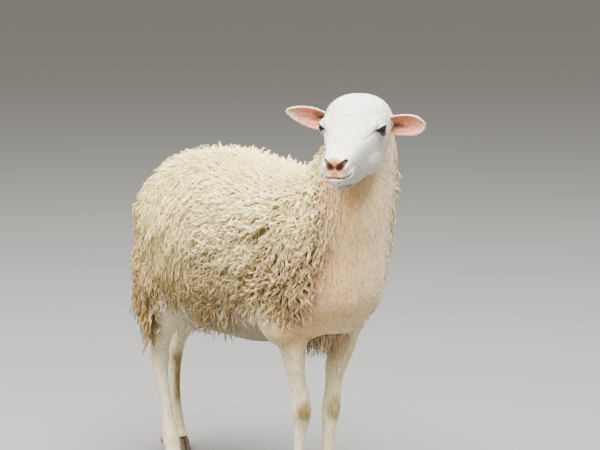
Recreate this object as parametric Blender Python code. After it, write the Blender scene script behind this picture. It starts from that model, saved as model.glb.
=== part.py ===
"""A young woolly sheep, standing with its head turned to its right.

Metres, +Z up, +X forward, +Y to the animal's left.  The body is lofted from named
sections, joined into one skin, given its relief and cut into named parts by thin cuts.
"""
import math
import random

import bmesh
import bpy
import numpy as np
from mathutils import Euler, Matrix, Vector, noise

for old in list(bpy.data.objects):
    bpy.data.objects.remove(old, do_unlink=True)

# ---- driving sizes (metres, degrees) -------------------------------------------------
SHIFT = Vector((-0.0672, 0.0, 0.0))     # puts the middle of the box over the origin
GAP = 0.0003                            # cut between neighbouring parts
VOXEL = 0.0030                          # size of the joining grid
EASING = 7                              # smoothing passes over the joined body
HEAD_AT = Vector((0.360, 0.020, 0.743))  # middle of the skull, between the ears
HEAD_TURN = -48.8                       # to the right
HEAD_NOD = 8.7                          # nose down
HEAD_ROLL = -0.8
EYE_AT = Vector((0.0780, 0.0434, 0.0075))
EYE_RADIUS = 0.0134
EAR_LENGTH = 0.0860
EAR_WIDTH = 0.0480
EAR_WALL = 0.0038
HOOF_TOP = 0.0280
RING = 28                               # points round each section
JAW_PINCH = 0.20                        # how far the skull narrows towards the jaw
FACES = 5700                            # of the joined body, before it is cut apart

# skin of the trunk: x, height of the middle, half width, up, down
TRUNK = [
    (-0.285, 0.500, 0.055, 0.045, 0.080), (-0.250, 0.495, 0.085, 0.088, 0.120),
    (-0.190, 0.470, 0.102, 0.145, 0.160), (-0.100, 0.455, 0.110, 0.172, 0.157),
    (0.000, 0.455, 0.112, 0.175, 0.157), (0.090, 0.455, 0.108, 0.167, 0.153),
    (0.180, 0.465, 0.102, 0.153, 0.136), (0.260, 0.462, 0.097, 0.130, 0.120),
    (0.330, 0.455, 0.078, 0.095, 0.098), (0.375, 0.445, 0.045, 0.060, 0.065)]
# outer face of the fleece: x, middle, half width, up, down
FLEECE = [
    (-0.305, 0.460, 0.055, 0.100, 0.125), (-0.275, 0.465, 0.086, 0.124, 0.150),
    (-0.220, 0.470, 0.113, 0.154, 0.155), (-0.150, 0.475, 0.132, 0.180, 0.156),
    (-0.050, 0.480, 0.145, 0.183, 0.155), (0.050, 0.480, 0.144, 0.175, 0.152),
    (0.140, 0.482, 0.138, 0.165, 0.140), (0.205, 0.485, 0.129, 0.160, 0.121),
    (0.262, 0.490, 0.117, 0.150, 0.106), (0.310, 0.495, 0.097, 0.110, 0.075)]
# neck: middle, half depth, half width, with the wool of its sides and back
NECK = [
    ((0.275, 0.000, 0.440), 0.125, 0.111), ((0.291, 0.000, 0.500), 0.110, 0.112),
    ((0.311, 0.006, 0.560), 0.098, 0.103), ((0.321, 0.018, 0.610), 0.079, 0.092),
    ((0.323, 0.033, 0.660), 0.059, 0.085), ((0.326, 0.040, 0.700), 0.051, 0.076),
    ((0.336, 0.035, 0.735), 0.048, 0.063), ((0.352, 0.027, 0.762), 0.038, 0.045)]
# skull and jaw in the head's own frame: x, middle, half width, up, down, squareness
HEAD = [
    (-0.030, 0.000, 0.034, 0.026, 0.040, 2.0), (-0.012, 0.004, 0.052, 0.042, 0.056, 2.0),
    (0.015, 0.004, 0.0600, 0.053, 0.073, 2.3), (0.045, 0.001, 0.0620, 0.054, 0.080, 2.5),
    (0.075, -0.003, 0.0545, 0.047, 0.083, 2.5), (0.100, -0.009, 0.0465, 0.039, 0.078, 2.4),
    (0.125, -0.015, 0.0380, 0.031, 0.070, 2.3), (0.150, -0.020, 0.0315, 0.025, 0.060, 2.3),
    (0.175, -0.025, 0.0270, 0.020, 0.049, 2.3), (0.196, -0.029, 0.0245, 0.018, 0.039, 2.4),
    (0.210, -0.031, 0.0220, 0.015, 0.030, 2.4), (0.218, -0.032, 0.0160, 0.010, 0.021, 2.2)]
# limbs: middle, half depth, half width
FORE_RIGHT = [
    ((0.232, -0.060, 0.440), 0.066, 0.038), ((0.246, -0.058, 0.350), 0.040, 0.0245),
    ((0.250, -0.056, 0.325), 0.033, 0.0215), ((0.252, -0.053, 0.290), 0.0245, 0.0165),
    ((0.251, -0.047, 0.262), 0.0195, 0.0147), ((0.250, -0.040, 0.235), 0.0190, 0.0172),
    ((0.249, -0.0365, 0.206), 0.0215, 0.0190), ((0.247, -0.0345, 0.181), 0.0165, 0.0145),
    ((0.244, -0.0360, 0.163), 0.0122, 0.0108), ((0.241, -0.035, 0.130), 0.0116, 0.0104),
    ((0.239, -0.034, 0.095), 0.0114, 0.0106), ((0.240, -0.033, 0.066), 0.0165, 0.0172),
    ((0.249, -0.033, 0.044), 0.0132, 0.0160), ((0.258, -0.033, 0.022), 0.0150, 0.0175)]
FORE_LEFT = [
    ((0.232, 0.060, 0.440), 0.066, 0.038), ((0.246, 0.062, 0.350), 0.038, 0.0240),
    ((0.250, 0.053, 0.313), 0.031, 0.0200), ((0.250, 0.0410, 0.282), 0.0262, 0.0180),
    ((0.250, 0.0370, 0.262), 0.0208, 0.0155), ((0.249, 0.0342, 0.233), 0.0178, 0.0148),
    ((0.248, 0.0320, 0.205), 0.0202, 0.0170), ((0.247, 0.0298, 0.181), 0.0180, 0.0152),
    ((0.247, 0.0265, 0.157), 0.0140, 0.0125), ((0.247, 0.0255, 0.124), 0.0122, 0.0116),
    ((0.248, 0.0252, 0.093), 0.0116, 0.0112), ((0.250, 0.025, 0.066), 0.0165, 0.0172),
    ((0.259, 0.025, 0.044), 0.0132, 0.0160), ((0.268, 0.025, 0.022), 0.0150, 0.0175)]
HIND_RIGHT = [
    ((-0.188, -0.056, 0.475), 0.082, 0.044), ((-0.182, -0.069, 0.390), 0.078, 0.046),
    ((-0.178, -0.069, 0.335), 0.049, 0.031), ((-0.199, -0.064, 0.288), 0.0262, 0.0185),
    ((-0.213, -0.061, 0.252), 0.0178, 0.0150), ((-0.223, -0.060, 0.226), 0.0215, 0.0165),
    ((-0.220, -0.060, 0.192), 0.0162, 0.0142), ((-0.210, -0.058, 0.150), 0.0132, 0.0122),
    ((-0.199, -0.056, 0.100), 0.0132, 0.0135), ((-0.192, -0.055, 0.066), 0.0175, 0.0182),
    ((-0.184, -0.055, 0.044), 0.0142, 0.0170), ((-0.176, -0.055, 0.022), 0.0155, 0.0180)]
HIND_LEFT = [
    ((-0.196, 0.056, 0.475), 0.082, 0.044), ((-0.205, 0.067, 0.390), 0.080, 0.046),
    ((-0.222, 0.066, 0.335), 0.052, 0.032), ((-0.294, 0.056, 0.283), 0.0235, 0.0172),
    ((-0.323, 0.050, 0.243), 0.0160, 0.0135), ((-0.339, 0.044, 0.214), 0.0212, 0.0165),
    ((-0.340, 0.043, 0.182), 0.0160, 0.0138), ((-0.338, 0.042, 0.145), 0.0125, 0.0116),
    ((-0.336, 0.042, 0.100), 0.0120, 0.0122), ((-0.334, 0.041, 0.064), 0.0165, 0.0172),
    ((-0.325, 0.041, 0.043), 0.0142, 0.0168), ((-0.317, 0.041, 0.022), 0.0155, 0.0180)]
TAIL = [
    ((-0.250, 0.0, 0.570), 0.020, 0.022), ((-0.282, 0.0, 0.552), 0.024, 0.026),
    ((-0.307, 0.0, 0.515), 0.022, 0.030), ((-0.318, 0.0, 0.467), 0.018, 0.032),
    ((-0.321, 0.0, 0.420), 0.016, 0.030), ((-0.319, 0.0, 0.378), 0.012, 0.022)]
FEET = {                                # middle of each hoof on the floor
    "front_right": (0.262, -0.033), "front_left": (0.272, 0.025),
    "hind_right": (-0.172, -0.055), "hind_left": (-0.313, 0.041)}
LUMP, CURL = 0.0062, 0.0026             # relief of the fleece
HEM_LOCKS = 46                          # hanging locks round the lower edge of the fleece
# height of that edge along the body: low at the rump and the flank, high on thigh and shoulder
HEM_X = (-0.280, -0.200, -0.140, -0.090, -0.020, 0.035, 0.090, 0.140, 0.200)
HEM_Z = (0.338, 0.345, 0.362, 0.394, 0.396, 0.366, 0.378, 0.396, 0.412)

HEAD_FRAME = Matrix.Translation(HEAD_AT) @ Euler(
    (math.radians(HEAD_ROLL), math.radians(HEAD_NOD), math.radians(HEAD_TURN))).to_matrix().to_4x4()


def add(name, verts, faces):
    """A new mesh object from plain vertices and faces."""
    mesh = bpy.data.meshes.new(name)
    mesh.from_pydata([tuple(v) for v in verts], [], faces)
    mesh.update()
    obj = bpy.data.objects.new(name, mesh)
    bpy.context.scene.collection.objects.link(obj)
    return obj


def ring(middle, side, up, half, high, low, square=2.0, count=RING, pinch=0.0):
    """One closed section: a rounded figure with its own rise, drop and narrowing below."""
    points = []
    for i in range(count):
        turn = 2 * math.pi * i / count
        c, s = math.cos(turn), math.sin(turn)
        u = math.copysign(abs(c) ** (2 / square), c) * half * (1 + pinch * min(s, 0.0))
        v = math.copysign(abs(s) ** (2 / square), s) * (high if s > 0 else low)
        points.append(Vector(middle) + side * u + up * v)
    return points


def loft(name, rings):
    """Skin over a row of rings, each end closed by a low dome."""
    count = len(rings[0])
    verts = [p for one in rings for p in one]
    faces = []
    for k in range(len(rings) - 1):
        a, b = k * count, (k + 1) * count
        for i in range(count):
            j = (i + 1) % count
            faces.append((a + i, a + j, b + j, b + i))
    for k, inner in ((0, 1), (len(rings) - 1, len(rings) - 2)):
        middle = sum(rings[k], Vector()) / count
        step = middle - sum(rings[inner], Vector()) / count
        reach = min(step.length * 0.5, (rings[k][0] - middle).length * 0.55)
        verts.append(middle + step.normalized() * reach)
        tip, base = len(verts) - 1, k * count
        for i in range(count):
            j = (i + 1) % count
            faces.append((tip, base + j, base + i) if k == 0 else (tip, base + i, base + j))
    obj = add(name, verts, faces)
    outward(obj.data)
    return obj


def outward(mesh):
    """Faces all turned outwards."""
    bm = bmesh.new()
    bm.from_mesh(mesh)
    bmesh.ops.recalc_face_normals(bm, faces=bm.faces[:])
    bm.to_mesh(mesh)
    bm.free()


def smooth_path(rows, steps=4):
    """Rows of numbers, made denser by a smooth curve through them."""
    table = np.array([np.hstack([np.ravel(v) for v in row]) for row in rows], float)
    out = []
    for k in range(len(table) - 1):
        p1, p2 = table[k], table[k + 1]
        p0 = table[k - 1] if k else 2 * p1 - p2
        p3 = table[k + 2] if k + 2 < len(table) else 2 * p2 - p1
        for s in range(steps):
            t = s / steps
            out.append(0.5 * (2 * p1 + (p2 - p0) * t + (2 * p0 - 5 * p1 + 4 * p2 - p3) * t * t
                              + (3 * p1 - p0 - 3 * p2 + p3) * t ** 3))
    out.append(table[-1])
    return out


def lengthwise(name, rows, square=2.2):
    """Loft of upright sections along X."""
    return loft(name, [ring((x, 0, z), Vector((0, 1, 0)), Vector((0, 0, 1)), w, hi, lo, square)
                       for x, z, w, hi, lo in smooth_path(rows)])


def limb(name, rows, steps=3):
    """Loft along a bent path; sections stand square to it."""
    path = smooth_path(rows, steps)
    rings = []
    for k, (x, y, z, deep, wide) in enumerate(path):
        along = Vector(path[min(k + 1, len(path) - 1)][:3]) - Vector(path[max(k - 1, 0)][:3])
        fore = Vector((0, 1, 0)).cross(along).normalized()
        side = along.cross(fore).normalized()
        rings.append(ring((x, y, z), side, fore, wide, deep, deep, 2.1))
    return loft(name, rings)


def ball(name, middle, size, turn=(0, 0, 0), rings=10, segments=16):
    """An ellipsoid as a body of its own."""
    mesh = bpy.data.meshes.new(name)
    bm = bmesh.new()
    bmesh.ops.create_uvsphere(bm, u_segments=segments, v_segments=rings, radius=1.0)
    place = (Matrix.Translation(middle) @ Euler([math.radians(a) for a in turn]).to_matrix().to_4x4()
             @ Matrix.Diagonal((*size, 1.0)))
    bmesh.ops.transform(bm, matrix=place, verts=bm.verts[:])
    bm.to_mesh(mesh)
    bm.free()
    obj = bpy.data.objects.new(name, mesh)
    bpy.context.scene.collection.objects.link(obj)
    return obj


def apply_all(obj):
    """Every modifier of the object made real."""
    graph = bpy.context.evaluated_depsgraph_get()
    mesh = bpy.data.meshes.new_from_object(obj.evaluated_get(graph))
    obj.modifiers.clear()
    stale = obj.data
    obj.data = mesh
    bpy.data.meshes.remove(stale)


def join(name, objs):
    """Several meshes in one object."""
    verts, faces = [], []
    for o in objs:
        base = len(verts)
        verts += [o.matrix_world @ v.co for v in o.data.vertices]
        faces += [tuple(base + i for i in p.vertices) for p in o.data.polygons]
        bpy.data.objects.remove(o, do_unlink=True)
    return add(name, verts, faces)


def boolean(obj, tool):
    """The tool cut out of the object and removed."""
    mod = obj.modifiers.new("cut", "BOOLEAN")
    mod.operation, mod.solver, mod.object = "DIFFERENCE", "EXACT", tool
    mod.use_self = True
    apply_all(obj)
    bpy.data.objects.remove(tool, do_unlink=True)


def swollen(obj, by):
    """A copy of the object grown along its normals."""
    bm = bmesh.new()
    bm.from_mesh(obj.data)
    bm.normal_update()
    moved = [v.co + v.normal * by for v in bm.verts]
    for v, co in zip(bm.verts, moved):
        v.co = co
    mesh = bpy.data.meshes.new("grown")
    bm.to_mesh(mesh)
    bm.free()
    grown = bpy.data.objects.new("grown", mesh)
    bpy.context.scene.collection.objects.link(grown)
    return grown


def slab(middle, normal, half_u, half_v, thick=GAP):
    """A plate, thin unless told otherwise, that parts two neighbours."""
    square = Vector(normal).to_track_quat("Z", "Y").to_matrix().to_4x4()
    mesh = bpy.data.meshes.new("plate")
    bm = bmesh.new()
    bmesh.ops.create_cube(bm, size=1.0)
    place = (Matrix.Translation(middle) @ square
             @ Matrix.Diagonal((2 * half_u, 2 * half_v, thick, 1.0)))
    bmesh.ops.transform(bm, matrix=place, verts=bm.verts[:])
    bm.to_mesh(mesh)
    bm.free()
    obj = bpy.data.objects.new("plate", mesh)
    bpy.context.scene.collection.objects.link(obj)
    return obj


def bell(distance, reach):
    """Smooth fall from 1 at nought to 0 at the reach."""
    t = np.clip(1 - distance / reach, 0, 1)
    return t * t * (3 - 2 * t)


# ---- flesh and fleece ----------------------------------------------------------------
bodies = [lengthwise("trunk skin", TRUNK), lengthwise("fleece", FLEECE, 2.35),
          limb("neck", NECK)]
# the root of the tail and the points of the hips under the wool
bodies.append(ball("rump", (-0.235, 0.0, 0.500), (0.085, 0.100, 0.100)))
bodies.append(ball("brisket", (0.328, 0.0, 0.440), (0.082, 0.090, 0.084)))
for side in (1, -1):
    bodies.append(ball("shoulder", (0.225, 0.064 * side, 0.430), (0.080, 0.046, 0.105), (8 * side, -12, 0)))

head_rings = []
for x, z, w, hi, lo, sq in smooth_path(HEAD, 3):
    head_rings.append([HEAD_FRAME @ p for p in ring(
        (x, 0, z), Vector((0, 1, 0)), Vector((0, 0, 1)), w, hi, lo, sq, 32, JAW_PINCH)])
bodies.append(loft("skull", head_rings))
for side in (1, -1):
    # brow, cheek, root of the ear and upper lip
    for middle, size in (((0.074, 0.0420 * side, 0.011), (0.027, 0.0125, 0.021)),
                         ((0.060, 0.0280 * side, -0.038), (0.061, 0.0230, 0.040)),
                         ((0.024, 0.0510 * side, 0.008), (0.018, 0.0140, 0.018)),
                         ((0.184, 0.0150 * side, -0.041), (0.024, 0.0110, 0.018))):
        one = ball("cheek", (0, 0, 0), size)
        one.data.transform(HEAD_FRAME @ Matrix.Translation(middle))
        bodies.append(one)

legs = {"front_right": FORE_RIGHT, "front_left": FORE_LEFT,
        "hind_right": HIND_RIGHT, "hind_left": HIND_LEFT}
for name, rows in legs.items():
    bodies.append(limb("leg " + name, rows))
    if name.startswith("hind"):
        hock = Vector(rows[5][0])
        bodies.append(limb("heel", [
            (tuple(Vector(rows[3][0]) + Vector((-0.016, 0, 0.010))), 0.009, 0.007),
            (tuple(hock + Vector((-0.020, 0, 0.030))), 0.0125, 0.0070),
            (tuple(hock + Vector((-0.025, 0, 0.008))), 0.0110, 0.0105),
            (tuple(hock + Vector((-0.013, 0, -0.030))), 0.0095, 0.0095)]))

# locks that hang from the lower edge of the fleece, round both flanks and the rump
rng = random.Random(11)
for k in range(HEM_LOCKS):
    turn = math.radians(-152 + 304 * (k + 0.5) / HEM_LOCKS + rng.uniform(-2, 2))
    x = -0.036 - 0.238 * math.copysign(abs(math.cos(turn)) ** 0.75, math.cos(turn))
    y = 0.124 * math.copysign(abs(math.sin(turn)) ** 0.62, math.sin(turn))
    y *= 1.0 - 0.18 * max(0.0, (x - 0.13) / 0.1)
    drop = rng.uniform(0.018, 0.042)
    edge = float(np.interp(x, HEM_X, HEM_Z))
    foot = edge - drop
    lean = Vector((rng.uniform(-0.008, 0.008), rng.uniform(-0.004, 0.004), 0))
    bodies.append(limb("hem lock", [
        ((x * 0.97, y * 0.93, edge + 0.048), 0.016, 0.014), ((x, y, edge), 0.013, 0.011),
        (tuple(Vector((x, y, 0.5 * (edge + foot))) + lean), 0.010, 0.009),
        (tuple(Vector((x, y, foot)) + 2 * lean), 0.005, 0.005)], 2))

body = join("body", bodies)
mod = body.modifiers.new("grid", "REMESH")
mod.mode, mod.voxel_size, mod.adaptivity, mod.use_smooth_shade = "VOXEL", VOXEL, 0.0, True
apply_all(body)
mod = body.modifiers.new("ease", "SMOOTH")
mod.factor, mod.iterations = 0.5, EASING
apply_all(body)

# ---- relief: wool on the fleece, nostrils, mouth and brow on the head ----------------
mesh = body.data
count = len(mesh.vertices)
co = np.empty(count * 3)
mesh.vertices.foreach_get("co", co)
co = co.reshape(-1, 3)
normal = np.empty(count * 3)
mesh.vertices.foreach_get("normal", normal)
normal = normal.reshape(-1, 3)

# the fleece ends at the neck's front, farther back lower down, and leaves belly and throat bare
front_edge = 0.375 - 0.81 * np.clip(0.50 - co[:, 2], 0, 0.2)
woolly = (np.clip((co[:, 2] - 0.285) / 0.03, 0, 1)
          * np.clip((front_edge - co[:, 0]) / 0.05, 0, 1)
          * np.clip((np.abs(co[:, 1]) - 0.075) / 0.03 + np.clip((co[:, 2] - 0.36) / 0.03, 0, 1), 0, 1)
          * np.clip((0.70 - co[:, 2]) / 0.04, 0, 1))
swell = np.zeros(count)
for i in np.nonzero(woolly > 0.01)[0]:
    x, y, z = co[i]
    lump = noise.noise(Vector((x * 42, y * 42, z * 20)))
    curl = noise.noise(Vector((x * 90 + 4, y * 90, z * 52)))
    swell[i] = woolly[i] * (LUMP * lump + CURL * curl)
co += normal * swell[:, None]

to_head = np.array(HEAD_FRAME.inverted())
local = co @ to_head[:3, :3].T + to_head[:3, 3]
axes = np.array(HEAD_FRAME)[:3, :3]
push = np.zeros_like(local)
for side in (1, -1):
    nostril = np.array((0.2150, 0.0110 * side, -0.0235))
    flat = (local - nostril) * np.array((1.0, 1.20, 1.0))
    push[:, 0] -= 0.0080 * bell(np.linalg.norm(flat, axis=1), 0.0115)
    rim = np.array((0.207, 0.0190 * side, -0.0180))
    push[:, 1] += 0.0020 * side * bell(np.linalg.norm(local - rim, axis=1), 0.012)
    # the hollow in front of the eye and the one above the jaw
    pit = np.array((0.112, 0.042 * side, -0.004))
    push[:, 1] -= 0.0028 * side * bell(np.linalg.norm(local - pit, axis=1), 0.024)
# mouth: a groove from the lip's middle back to the corner of each side
line = -0.0492 + 0.0120 * np.clip((0.207 - local[:, 0]) / 0.045, 0, 1) ** 1.3
seam = np.exp(-((local[:, 2] - line) / 0.0030) ** 2) * bell(np.abs(local[:, 0] - 0.196), 0.030)
inside = np.array((0.165, 0.0, -0.045)) - local
inside /= np.linalg.norm(inside, axis=1)[:, None] + 1e-9
push += inside * (0.0036 * seam)[:, None]
cleft = np.exp(-(local[:, 1] / 0.0022) ** 2) * bell(np.abs(local[:, 2] + 0.040), 0.013)
push[:, 0] -= 0.0026 * cleft * (local[:, 0] > 0.20)
near = (local[:, 0] > -0.05) & (np.linalg.norm(local - np.array((0.1, 0, 0)), axis=1) < 0.16)
co += (push * near[:, None]) @ axes.T
mesh.vertices.foreach_set("co", co.ravel())
mesh.update()

# ---- fewer faces, with most kept on the head -----------------------------------------
group = body.vertex_groups.new(name="coarse")
fine = np.clip((local[:, 0] - 0.01) / 0.03, 0, 1) * near * (local[:, 2] > -0.085)
leg = (co[:, 2] < 0.27).astype(float)
weight = np.clip(1.0 - 0.80 * fine - 0.50 * leg, 0.02, 1.0)
order = np.round(weight, 2)
for value in np.unique(order):
    group.add(np.nonzero(order == value)[0].tolist(), float(value), "REPLACE")
mod = body.modifiers.new("fewer", "DECIMATE")
mod.ratio, mod.vertex_group, mod.use_collapse_triangulate = FACES / (2 * count), "coarse", True
mod.vertex_group_factor = 1.0
apply_all(body)

# ---- thin cuts between the named parts -----------------------------------------------
nape = HEAD_FRAME @ Vector((0.008, 0.0, -0.060))
nape_way = HEAD_FRAME.to_3x3() @ Vector((0.40, 0.0, 0.92))
boolean(body, slab(nape, nape_way, 0.165, 0.165))
boolean(body, slab((0.290, 0.0, 0.560), (0.55, 0.0, 0.84), 0.195, 0.190))
CUTS = {"front_right": (0.2505, -0.062, 0.300), "front_left": (0.2505, 0.062, 0.296),
        "hind_right": (-0.215, -0.066, 0.2700), "hind_left": (-0.300, 0.066, 0.268)}
for name, middle in CUTS.items():
    boolean(body, slab(middle, (0, 0, 1), 0.085, 0.058))
boolean(body, slab((0, 0, HOOF_TOP + GAP - 0.1), (0, 0, 1), 0.6, 0.6, 0.2))


def islands(obj):
    """Each loose piece of a mesh as an object of its own."""
    bm = bmesh.new()
    bm.from_mesh(obj.data)
    left, out = set(bm.verts), []
    while left:
        todo, found = [left.pop()], set()
        while todo:
            v = todo.pop()
            found.add(v)
            for e in v.link_edges:
                o = e.other_vert(v)
                if o in left:
                    left.discard(o)
                    todo.append(o)
        index = {v: i for i, v in enumerate(found)}
        faces = [tuple(index[v] for v in f.verts) for f in bm.faces if f.verts[0] in found]
        out.append(([v.co.copy() for v in found], faces))
    bm.free()
    return out


CRUMB = 30                              # fewest points of a real part
named = {}
for verts, faces in islands(body):
    lo = Vector([min(v[i] for v in verts) for i in range(3)])
    hi = Vector([max(v[i] for v in verts) for i in range(3)])
    mid = (lo + hi) / 2
    if len(verts) < CRUMB:
        continue
    if hi.z > HEAD_AT.z:
        key = "head"
    elif hi.x - lo.x > 0.5:
        key = "trunk"
    elif lo.z > 0.4:
        key = "neck"
    else:
        key = "leg_" + ("front" if mid.x > 0 else "hind") + ("_left" if mid.y > 0 else "_right")
    if key in named and len(named[key].data.vertices) > len(verts):
        continue
    if key in named:
        bpy.data.objects.remove(named[key], do_unlink=True)
    named[key] = add(key, verts, faces)
    outward(named[key].data)
bpy.data.objects.remove(body, do_unlink=True)


# ---- eyes ----------------------------------------------------------------------------
for side, key in ((1, "eye_left"), (-1, "eye_right")):
    at = HEAD_FRAME @ Vector((EYE_AT.x, EYE_AT.y * side, EYE_AT.z))
    boolean(named["head"], ball("socket", at, (EYE_RADIUS + GAP,) * 3, rings=14, segments=20))
    named[key] = ball(key, at, (EYE_RADIUS,) * 3, rings=8, segments=12)


# ---- ears: a cupped leaf, open to the front ------------------------------------------
def ear(name, side, length, lift, sweep, twist, blunt):
    """One ear, laid out along its own length and then set on the skull."""
    rows, across = 11, 7
    outer, inner = [], []
    for r in range(rows):
        t = r / (rows - 1)
        width = EAR_WIDTH * min(0.90 + 0.26 * t, 1.0) * (1 - max(0.0, (t - 0.42) / 0.59) ** blunt) ** 0.62
        bend = math.radians(155 - 85 * t)
        radius = width / bend
        for shell, off in ((outer, 0.0), (inner, EAR_WALL * (1 - 0.55 * t))):
            for c in range(across):
                a = bend * (c / (across - 1) - 0.5)
                edge = 1.0 - abs(2 * c / (across - 1) - 1) ** 2 * 0.7
                rr = radius - off * edge
                shell.append(Vector((length * (t * 1.06 - 0.06), rr * math.sin(a), radius - rr * math.cos(a)
                                     - 0.006 * math.sin(math.pi * t))))
    verts, faces = outer + inner, []
    n = len(outer)
    for r in range(rows - 1):
        for c in range(across - 1):
            a = r * across + c
            faces.append((a, a + 1, a + across + 1, a + across))
            faces.append((n + a, n + a + across, n + a + across + 1, n + a + 1))
    for r in range(rows - 1):
        for c in (0, across - 1):
            a = r * across + c
            faces.append((a, a + across, n + a + across, n + a))
    for c in range(across - 1):
        for r in (0, rows - 1):
            a = r * across + c
            faces.append((a, a + 1, n + a + 1, n + a))
    out = add(name, verts, faces)
    # length to the side, hollow to the front, then lift, sweep and twist
    base = Matrix(((0, 0, 1, 0), (side, 0, 0, 0), (0, side, 0, 0), (0, 0, 0, 1)))
    turn = (Matrix.Rotation(math.radians(-sweep * side), 4, "Z")
            @ Matrix.Rotation(math.radians(lift * side), 4, "X")
            @ base @ Matrix.Rotation(math.radians(twist), 4, "X"))
    at = Matrix.Translation((0.026, 0.048 * side, 0.004))
    out.data.transform(HEAD_FRAME @ at @ turn)
    outward(out.data)
    return out


def first_island(obj, far_from):
    """Only the piece that reaches farthest from a point is kept."""
    best = max(islands(obj), key=lambda g: max((v - far_from).length for v in g[0]))
    bpy.data.objects.remove(obj, do_unlink=True)
    out = add("kept", *best)
    outward(out.data)
    return out


for side, key, length, lift, sweep, twist, blunt in (
        (1, "ear_left", EAR_LENGTH * 0.92, 5, 14, 6, 3.2),
        (-1, "ear_right", EAR_LENGTH, 15, 10, -4, 1.45)):
    one = ear(key, side, length, lift, sweep, twist, blunt)
    boolean(one, swollen(named["head"], GAP))
    named[key] = first_island(one, HEAD_AT)

# ---- tail ----------------------------------------------------------------------------
tail = limb("tail", TAIL, 2)
mod = tail.modifiers.new("fewer", "DECIMATE")
mod.ratio = 0.30
apply_all(tail)
boolean(tail, swollen(named["trunk"], GAP))
named["tail"] = first_island(tail, Vector((0, 0, 0.5)))


# ---- feet: two hooves and two dewclaws on each ---------------------------------------
def hoof(name, x, y, side):
    """One toe of the foot: flat sole, upright inner wall, sloping front."""
    def outline(grow, back, lean, z):
        points = []
        for px, py in ((-0.020, 0.0), (-0.021, 0.010), (-0.013, 0.0165), (0.000, 0.0185),
                       (0.012, 0.0165), (0.020, 0.0095), (0.0225, 0.0)):
            points.append(Vector((x + px * grow + lean - back, y + side * (0.0012 + py * grow), z)))
        return points
    rings = [outline(1.00, 0.0, 0.0, 0.0), outline(0.97, 0.001, 0.0, 0.006),
             outline(0.86, 0.004, 0.0, 0.020), outline(0.80, 0.006, 0.0, HOOF_TOP)]
    count = len(rings[0])
    verts = [p for one in rings for p in one]
    faces = [tuple(range(count)), tuple(range(3 * count, 4 * count))]
    for k in range(3):
        for i in range(count):
            j = (i + 1) % count
            faces.append((k * count + i, k * count + j, (k + 1) * count + j, (k + 1) * count + i))
    obj = add(name, verts, faces)
    outward(obj.data)
    return obj


for foot, (x, y) in FEET.items():
    for toe, side in (("outer", 1 if y > 0 else -1), ("inner", -1 if y > 0 else 1)):
        key = "hoof_%s_%s" % (foot, toe)
        named[key] = hoof(key, x, y, side)
        key = "dewclaw_%s_%s" % (foot, toe)
        claw = ball(key, (0, 0, 0), (0.0050, 0.0055, 0.0105), (0, 24, 0), 4, 6)
        rows = legs[foot]
        joint = Vector(rows[-3][0])
        claw.data.transform(Matrix.Translation(joint + Vector((-0.0175, 0.0085 * side, -0.0055))))
        boolean(claw, swollen(named["leg_" + foot], GAP))
        named[key] = first_island(claw, joint + Vector((0.1, 0, 0)))

# ---- looks, names and place ----------------------------------------------------------
LOOKS = {
    "fleece": ((0.78, 0.70, 0.56), 0.92), "skin": ((0.84, 0.80, 0.73), 0.80),
    "ear": ((0.86, 0.62, 0.54), 0.70), "eye": ((0.05, 0.04, 0.035), 0.08),
    "horn": ((0.16, 0.13, 0.10), 0.55)}


def look(name, kind):
    """A plain material for one named part."""
    colour, rough = LOOKS[kind]
    mat = bpy.data.materials.new(name)
    mat.use_nodes = True
    shader = mat.node_tree.nodes["Principled BSDF"]
    shader.inputs["Base Color"].default_value = (*colour, 1.0)
    shader.inputs["Roughness"].default_value = rough
    return mat


for key, obj in named.items():
    obj.name = obj.data.name = key
    kind = ("eye" if key.startswith("eye") else "ear" if key.startswith("ear") else
            "horn" if key.startswith(("hoof", "dewclaw")) else
            "fleece" if key in ("trunk", "tail") else "skin")
    bm = bmesh.new()
    bm.from_mesh(obj.data)
    bmesh.ops.remove_doubles(bm, verts=bm.verts[:], dist=0.00002)
    bmesh.ops.dissolve_degenerate(bm, edges=bm.edges[:], dist=0.00002)
    bmesh.ops.triangulate(bm, faces=bm.faces[:])
    bmesh.ops.translate(bm, verts=bm.verts[:], vec=SHIFT)
    bm.to_mesh(obj.data)
    bm.free()
    obj.data.materials.clear()
    obj.data.materials.append(look(key, kind))
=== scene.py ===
"""The looks of a young sheep in its long fleece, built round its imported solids.

Metres, +Z up, +X towards the sheep's chest, +Y its left side.  The hide is one closed
skin; wool and hair are thousands of small solid locks that lie along it.
"""
import math

import bmesh
import bpy
import numpy as np
from mathutils import Euler, Matrix, Vector, geometry, noise
from mathutils.bvhtree import BVHTree


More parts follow.
